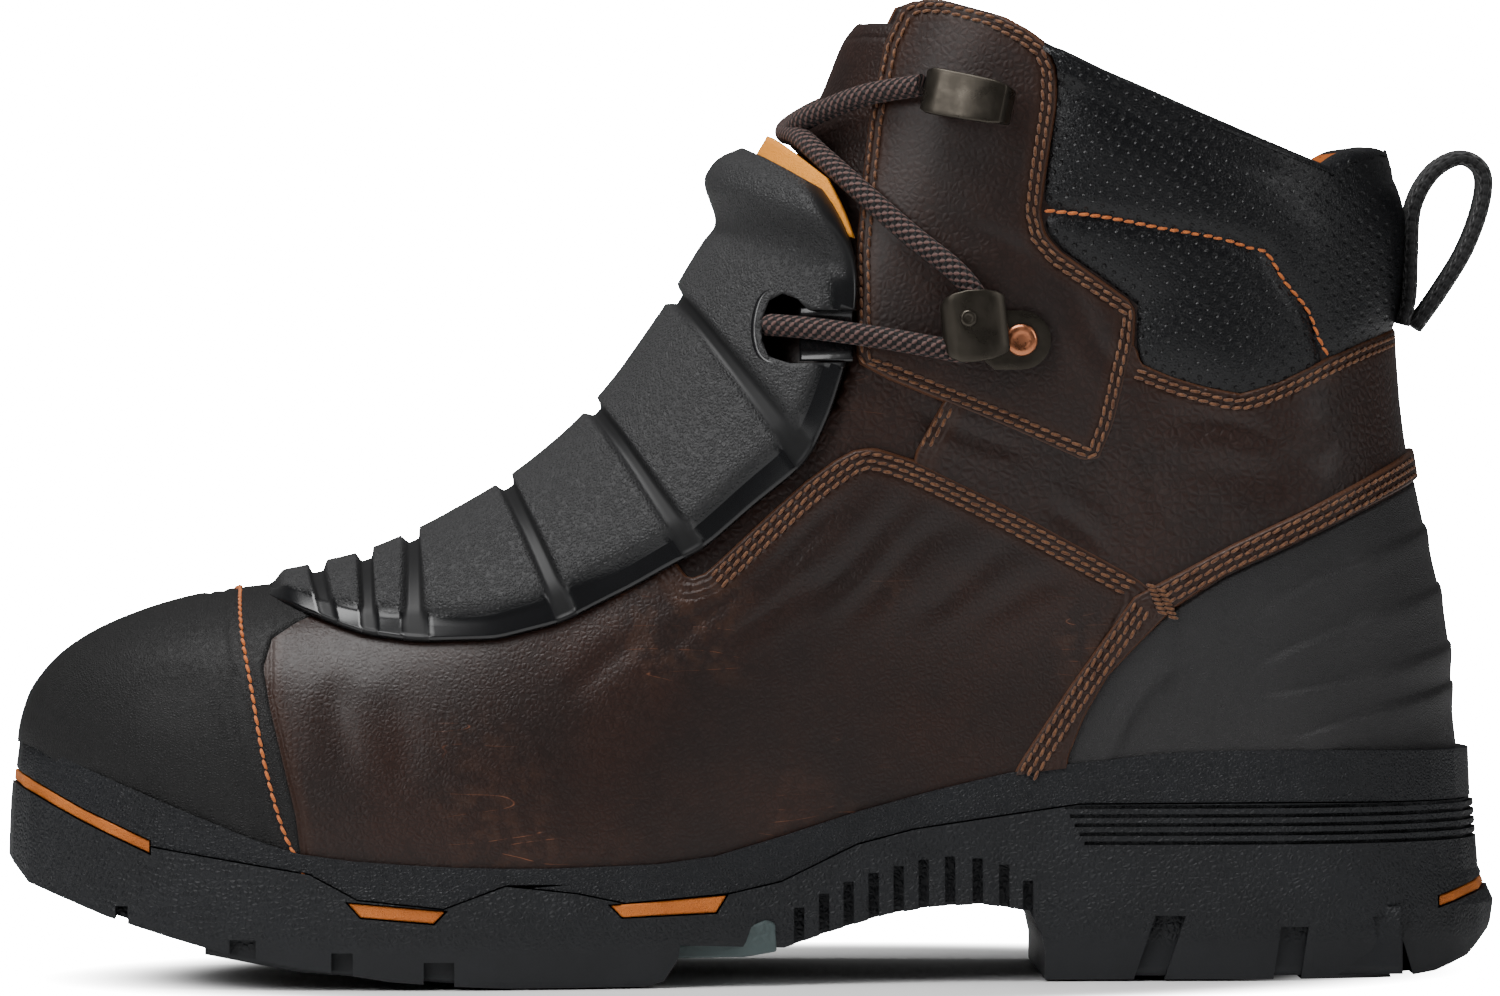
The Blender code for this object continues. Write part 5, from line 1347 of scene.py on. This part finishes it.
loop_length = run_length(loop_line)
loop_grid = (len(loop_line), len(across))
loop = closed_sheet("loop_webbing", loop_face(1.0), loop_face(-1.0),
                    along=np.broadcast_to(loop_length[:, None], loop_grid),
                    across=np.broadcast_to(across * LOOP_HALF, loop_grid))
webbing, webbing_tree, webbing_surface = surface("ribbed_webbing", (0.0085, 0.0085, 0.0090), 0.8,
                                                 sheen=0.2)
rib_a = math_node(webbing_tree, "MULTIPLY", attribute(webbing_tree, "along"), 2.6)
rib_b = math_node(webbing_tree, "MULTIPLY", attribute(webbing_tree, "across"), 3.4)
rib_wave = math_node(webbing_tree, "SINE", math_node(webbing_tree, "ADD", rib_a, rib_b))
cross_wave = math_node(webbing_tree, "SINE", math_node(webbing_tree, "SUBTRACT", rib_a, rib_b))
ribs = math_node(webbing_tree, "MAXIMUM", rib_wave, cross_wave)
# Painted shade and highlight: the webbing is painted darker in the hollows between the ribs and lighter
# on their tops.
webbing_tree.links.new(blend_colours(webbing_tree, span(webbing_tree, ribs, -0.5, 1.0),
                                     (0.0030, 0.0030, 0.0032),
                                     (0.0125, 0.0125, 0.0130)),
                       webbing_surface.inputs["Base Color"])
bump(webbing_tree, webbing_surface, ribs, 0.22 * MM)
settle(loop, webbing, "webbing", "pull_loop")

# Sole
# The outsole, the midsole rim and the orange inserts keep their moulded forms, with softened
# edges. The black rubber has a leathery grain, finer on the rim and polished on the tread.
def rubber(name, colour, roughness, cell, relief):
    made, tree, principled = surface(name, colour, roughness)
    place = place_of(tree)
    grain = use_group(tree, GRAIN, Place=place, Cell=cell)
    flat = add(tree, "ShaderNodeSeparateXYZ", [(0, place)])
    smooth_tread = span(tree, flat.outputs["Z"], 0.006, 0.012)
    relief_share = math_node(tree, "MULTIPLY", grain["Height"], smooth_tread)
    bump(tree, principled, relief_share, relief * MM)
    paler = tuple(1.5 * value for value in colour)
    shade = blend_colours(tree, grain["Mottle"], colour, paler)
    tree.links.new(shade, principled.inputs["Base Color"])
    tree.links.new(span(tree, grain["Pore"], 0.3, 0.7, roughness - 0.06, roughness + 0.10),
                   principled.inputs["Roughness"])
    return made


def softened(node, name, finish, slot, width):
    """A copy of a moulded solid, merged, with softened edges."""
    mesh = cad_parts[node].data.copy()
    mesh.name = name
    bm = bmesh.new()
    bm.from_mesh(mesh)
    bmesh.ops.remove_doubles(bm, verts=bm.verts, dist=1e-5)
    bmesh.ops.dissolve_limit(bm, angle_limit=math.radians(1.0), verts=bm.verts, edges=bm.edges)
    bm.to_mesh(mesh)
    bm.free()
    for label in [layer.name for layer in mesh.uv_layers]:
        mesh.uv_layers.remove(mesh.uv_layers[label])
    mesh.materials.clear()
    thing = placed(name, mesh)
    bpy.context.view_layer.objects.active = thing
    thing.select_set(True)
    bpy.ops.object.shade_smooth_by_angle(angle=math.radians(32))
    thing.select_set(False)
    edge = thing.modifiers.new("edge", "BEVEL")
    edge.width = width * MM
    edge.segments = 2
    edge.limit_method = "ANGLE"
    edge.angle_limit = math.radians(34)
    edge.harden_normals = True
    settle(thing, finish, slot, node)
    return thing


tread_rubber = rubber("tread_rubber", (0.0072, 0.0078, 0.0092), 0.50, 1.1, 0.22)
rim_rubber = rubber("rim_rubber", (0.0054, 0.0059, 0.0074), 0.44, 0.8, 0.16)
softened("outsole", "outsole_form", tread_rubber, "outsole", 0.5)

# Behind the notches of the heel and the forefoot the side wall goes on, a little further in
NOTCH_WALL = 2.0
for side, word in ((-1, "medial"), (1, "lateral")):
    for notch, start, end, top, depth in (("heel", 72.0, 136.0, 15.0, 2.6),
                                              ("fore", -116.0, -34.0, 8.0, 4.2)):
        wall_x, wall_z = np.meshgrid(np.linspace(start, end, 60), np.linspace(0.8, top, 8),
                                     indexing="ij")
        lift = np.interp(wall_x, (-158, -128, -96, -60), (14.0, 8.5, 2.5, 0.0))
        centre = np.interp(wall_x, PLAN_LINE[:, 0], PLAN_LINE[:, 1])
        reach_out = np.interp(wall_x, PLAN_LINE[:, 0], PLAN_LINE[:, 2]) - depth
        walls = [np.stack([wall_x, centre + side * (reach_out - inward), wall_z + lift], -1) * MM
                 for inward in (0.0, NOTCH_WALL)]
        settle(closed_sheet(notch + "_notch_wall_" + word, *walls), tread_rubber, "outsole")

# A grey-green block shows under the waist, just behind the forefoot
BLOCK_SIDE = [(-17.6, 5.6), (-17.2, 8.6), (-9.6, 8.8), (-7.4, 10.6), (1.8, 13.6), (3.6, 12.8),
              (3.9, 6.9), (-3.0, 5.8)]
block = prism("waist_block", BLOCK_SIDE, -46.2, 46.2)
soft = block.modifiers.new("soft", "BEVEL")
soft.width = 0.5 * MM
soft.segments = 2
settle(block, rubber("grey_green_rubber", (0.040, 0.055, 0.055), 0.42, 2.2, 0.35), "outsole")
softened("midsole", "midsole_form", rim_rubber, "midsole", 0.5)
insert_orange = mottled("insert_orange", (0.52, 0.140, 0.020), (0.50, 0.130, 0.018),
                        (0.58, 0.170, 0.026), 0.48, 0.6, 0.10)
for node in ("toe_insert", "heel_insert", "side_insert_front_medial", "side_insert_front_lateral",
             "side_insert_rear_medial", "side_insert_rear_lateral"):
    softened(node, node + "_form", insert_orange, "orange_insert", 0.4)

# Insole
# A dark cushioned insole with a fine knitted cover.
insole_cloth, insole_tree, insole_surface = surface("insole_cloth", (0.024, 0.024, 0.026), 0.85,
                                                    sheen=0.3)
insole_place = add(insole_tree, "ShaderNodeSeparateXYZ", [(0, place_of(insole_tree))])
insole_x = math_node(insole_tree, "MULTIPLY", insole_place.outputs["X"], 1000.0)
insole_y = math_node(insole_tree, "MULTIPLY", insole_place.outputs["Y"], 1000.0)
insole_knit = use_group(insole_tree, PINHOLES, Along=insole_x, Up=insole_y, Pitch=1.2, Radius=0.3)
# Painted shade: the openings of the knit are painted near black.
insole_tree.links.new(blend_colours(insole_tree, insole_knit["Hole"], (0.026, 0.026, 0.028),
                                    (0.006, 0.006, 0.006)),
                      insole_surface.inputs["Base Color"])
bump(insole_tree, insole_surface, math_node(insole_tree, "MULTIPLY", insole_knit["Rim"], -1.0),
     0.2 * MM)
softened("insole", "insole_form", insole_cloth, "insole", 0.8)

# Stitches
# Waxed rust thread on the leather and orange thread on the toe cap and the collar. Each stitch
# is a small bead sunk at both ends, laid along its row on the surface of its layer.
STITCH_LENGTH, STITCH_PITCH, STITCH_HALF = 2.25, 2.40, 0.37
STITCH_SLANT = math.radians(9.0)


def offset_line(outline, distance, closed=False):
    """A side-view line moved to its left by a distance."""
    points = np.asarray(outline, dtype=float)
    if closed:
        step = np.roll(points, -1, axis=0) - np.roll(points, 1, axis=0)
    else:
        step = np.gradient(points, axis=0)
    step /= np.maximum(np.linalg.norm(step, axis=1, keepdims=True), 1e-9)
    return points + np.stack([-step[:, 1], step[:, 0]], -1) * distance


def even_line(points, gap):
    """The same line with points an even distance apart."""
    points = np.asarray(points, dtype=float)
    length = run_length(points)
    want = np.arange(0.0, length[-1], gap)
    return np.stack([np.interp(want, length, points[:, 0]), np.interp(want, length, points[:, 1])],
                    -1)


def bead_shape():
    """Rings of one stitch along its length: half width and height at each."""
    rings = []
    for share, width, height in ((-1.0, 0.30, -0.7), (-0.72, 0.85, 0.35), (-0.2, 1.0, 1.0),
                                 (0.2, 1.0, 1.0), (0.72, 0.85, 0.35), (1.0, 0.30, -0.7)):
        rings.append([(share, width * math.cos(t), height * 0.55 + width * math.sin(t))
                      for t in np.linspace(0.0, 2 * math.pi, 7)[:-1]])
    return np.array(rings)


BEAD = bead_shape()


def stitch_row(line, rise, side):
    """Centres, directions and sides of the stitches of one row on one side of the boot."""
    fine = even_line(line, 0.25)
    fine = fine[fine[:, 0] < np.interp(fine[:, 1], BACK_LINE[:, 0], BACK_LINE[:, 1]) - 1.0]
    ridge_z = np.interp(fine[:, 0], RIDGE_LINE[:, 0], RIDGE_LINE[:, 1])
    x, z = fine[:, 0], np.minimum(fine[:, 1], ridge_z - 0.004)
    place, normal = on_last(x, z, side, rise if np.isscalar(rise) else rise(x, z, side))
    length = run_length(place) / MM
    wanted = np.arange(STITCH_PITCH / 2, length[-1], STITCH_PITCH)
    centre, ahead, behind, up = [
        np.stack([np.interp(want, length, column) for column in rows.T], -1)
        for rows, want in ((place, wanted), (place, wanted + 0.6), (place, wanted - 0.6),
                           (normal, wanted))]
    return centre, ahead - behind, up


def sew(name, rows, finish, slot):
    """One object with the stitches of many rows."""
    points, faces = [], []
    rings, sides = BEAD.shape[:2]
    template = []
    for r in range(rings - 1):
        for s in range(sides):
            n = (s + 1) % sides
            template.append([r * sides + s, r * sides + n, (r + 1) * sides + n,
                             (r + 1) * sides + s])
    template.append(list(range(sides))[::-1])
    template.append([(rings - 1) * sides + s for s in range(sides)])
    for centre, direction, up in rows:
        for c, d, n in zip(centre, direction, up):
            d = d / max(np.linalg.norm(d), 1e-9)
            n = n - d * np.dot(n, d)
            n = n / max(np.linalg.norm(n), 1e-9)
            d = d * math.cos(STITCH_SLANT) + np.cross(n, d) * math.sin(STITCH_SLANT)
            b = np.cross(n, d)
            start = len(points)
            shape = (c + (BEAD[..., :1] * STITCH_LENGTH / 2 * d + BEAD[..., 1:2] * STITCH_HALF * b
                          + BEAD[..., 2:] * STITCH_HALF * n) * MM).reshape(-1, 3)
            points.extend(shape.tolist())
            faces.extend([[start + k for k in face] for face in template])
    mesh = bpy.data.meshes.new(name)
    mesh.from_pydata(points, [], faces)
    mesh.shade_smooth()
    return settle(placed(name, mesh), finish, slot)


def thread(name, colour, pale_tone_and_highlight):
    made, tree, principled = surface(name, colour, 0.6, sheen=0.2)
    twist = add(tree, "ShaderNodeTexNoise", [("Vector", place_of(tree)), ("Scale", 1400.0),
                                             ("Detail", 2.0)])
    # The thread is paler where the twist noise stands high, the same noise that raises its bump: partly
    # random tone, partly painted highlight on the raised twist.
    tree.links.new(blend_colours(tree, span(tree, twist.outputs["Fac"], 0.35, 0.65),
                                 colour, pale_tone_and_highlight), principled.inputs["Base Color"])
    bump(tree, principled, twist.outputs["Fac"], 0.12 * MM)
    return made


def over(thick):
    """Rise of a stitch on a leather layer of a thickness, with the creases under it."""
    return lambda x, z, side: creases(x, z, side) + thick


vamp_edge = smooth(VAMP[9:18], 8)
collar_rows = smooth(COLLAR_EDGE[1:9], 8)
facing_ring = np.array(FACING)
band_upper = smooth(BAND[4:9], 8)
band_left = smooth(BAND[1:4], 8)
brown_rows, orange_rows = [], []
for side in (-1, 1):
    for distance in (1.5, 3.0, 4.5):
        brown_rows.append(stitch_row(offset_line(vamp_edge, -distance), over(1.7), side))
    for distance in (1.3, 2.9, 4.5):
        brown_rows.append(stitch_row(offset_line(band_upper, -distance), 2.95, side))
    for distance in (1.3, 2.9, 4.5):
        brown_rows.append(stitch_row(offset_line(band_left, -distance), 2.95, side))
    for distance in (1.6, 3.1):
        brown_rows.append(stitch_row(offset_line(collar_rows, -distance), over(1.3), side))
        inner_ring = offset_line(facing_ring, 0.1 - distance, closed=True)
        brown_rows.append(stitch_row(np.concatenate([inner_ring, inner_ring[:1]]), over(1.6), side))
    for shift in (1.4, 3.2):
        seam = [(33.4 + shift, 112.5), (38.6 + shift, 121.0)]
        brown_rows.append(stitch_row(seam, over(1.3), side))
    for k in range(7):
        tack = [(82.2 + 0.4 * k, 83.6 - 0.95 * k), (87.6 + 0.4 * k, 81.2 - 0.95 * k)]
        brown_rows.append(stitch_row(tack, 3.2, side))
    orange_rows.append(stitch_row(seam_line[4:], 2.4, side))
    orange_rows.append(stitch_row(collar_seam,
                                  lambda x, z, s: collar_height(np.full(x.shape, 20.0), x, z, s) + 0.45,
                                  side))
sew("brown_stitches", brown_rows, thread("rust_thread", (0.085, 0.029, 0.010),
                                         (0.190, 0.080, 0.032)), "upper_leather")
sew("orange_stitches", orange_rows, thread("orange_thread", (0.50, 0.120, 0.022),
                                           (0.62, 0.17, 0.035)), "toe_cap_leather")
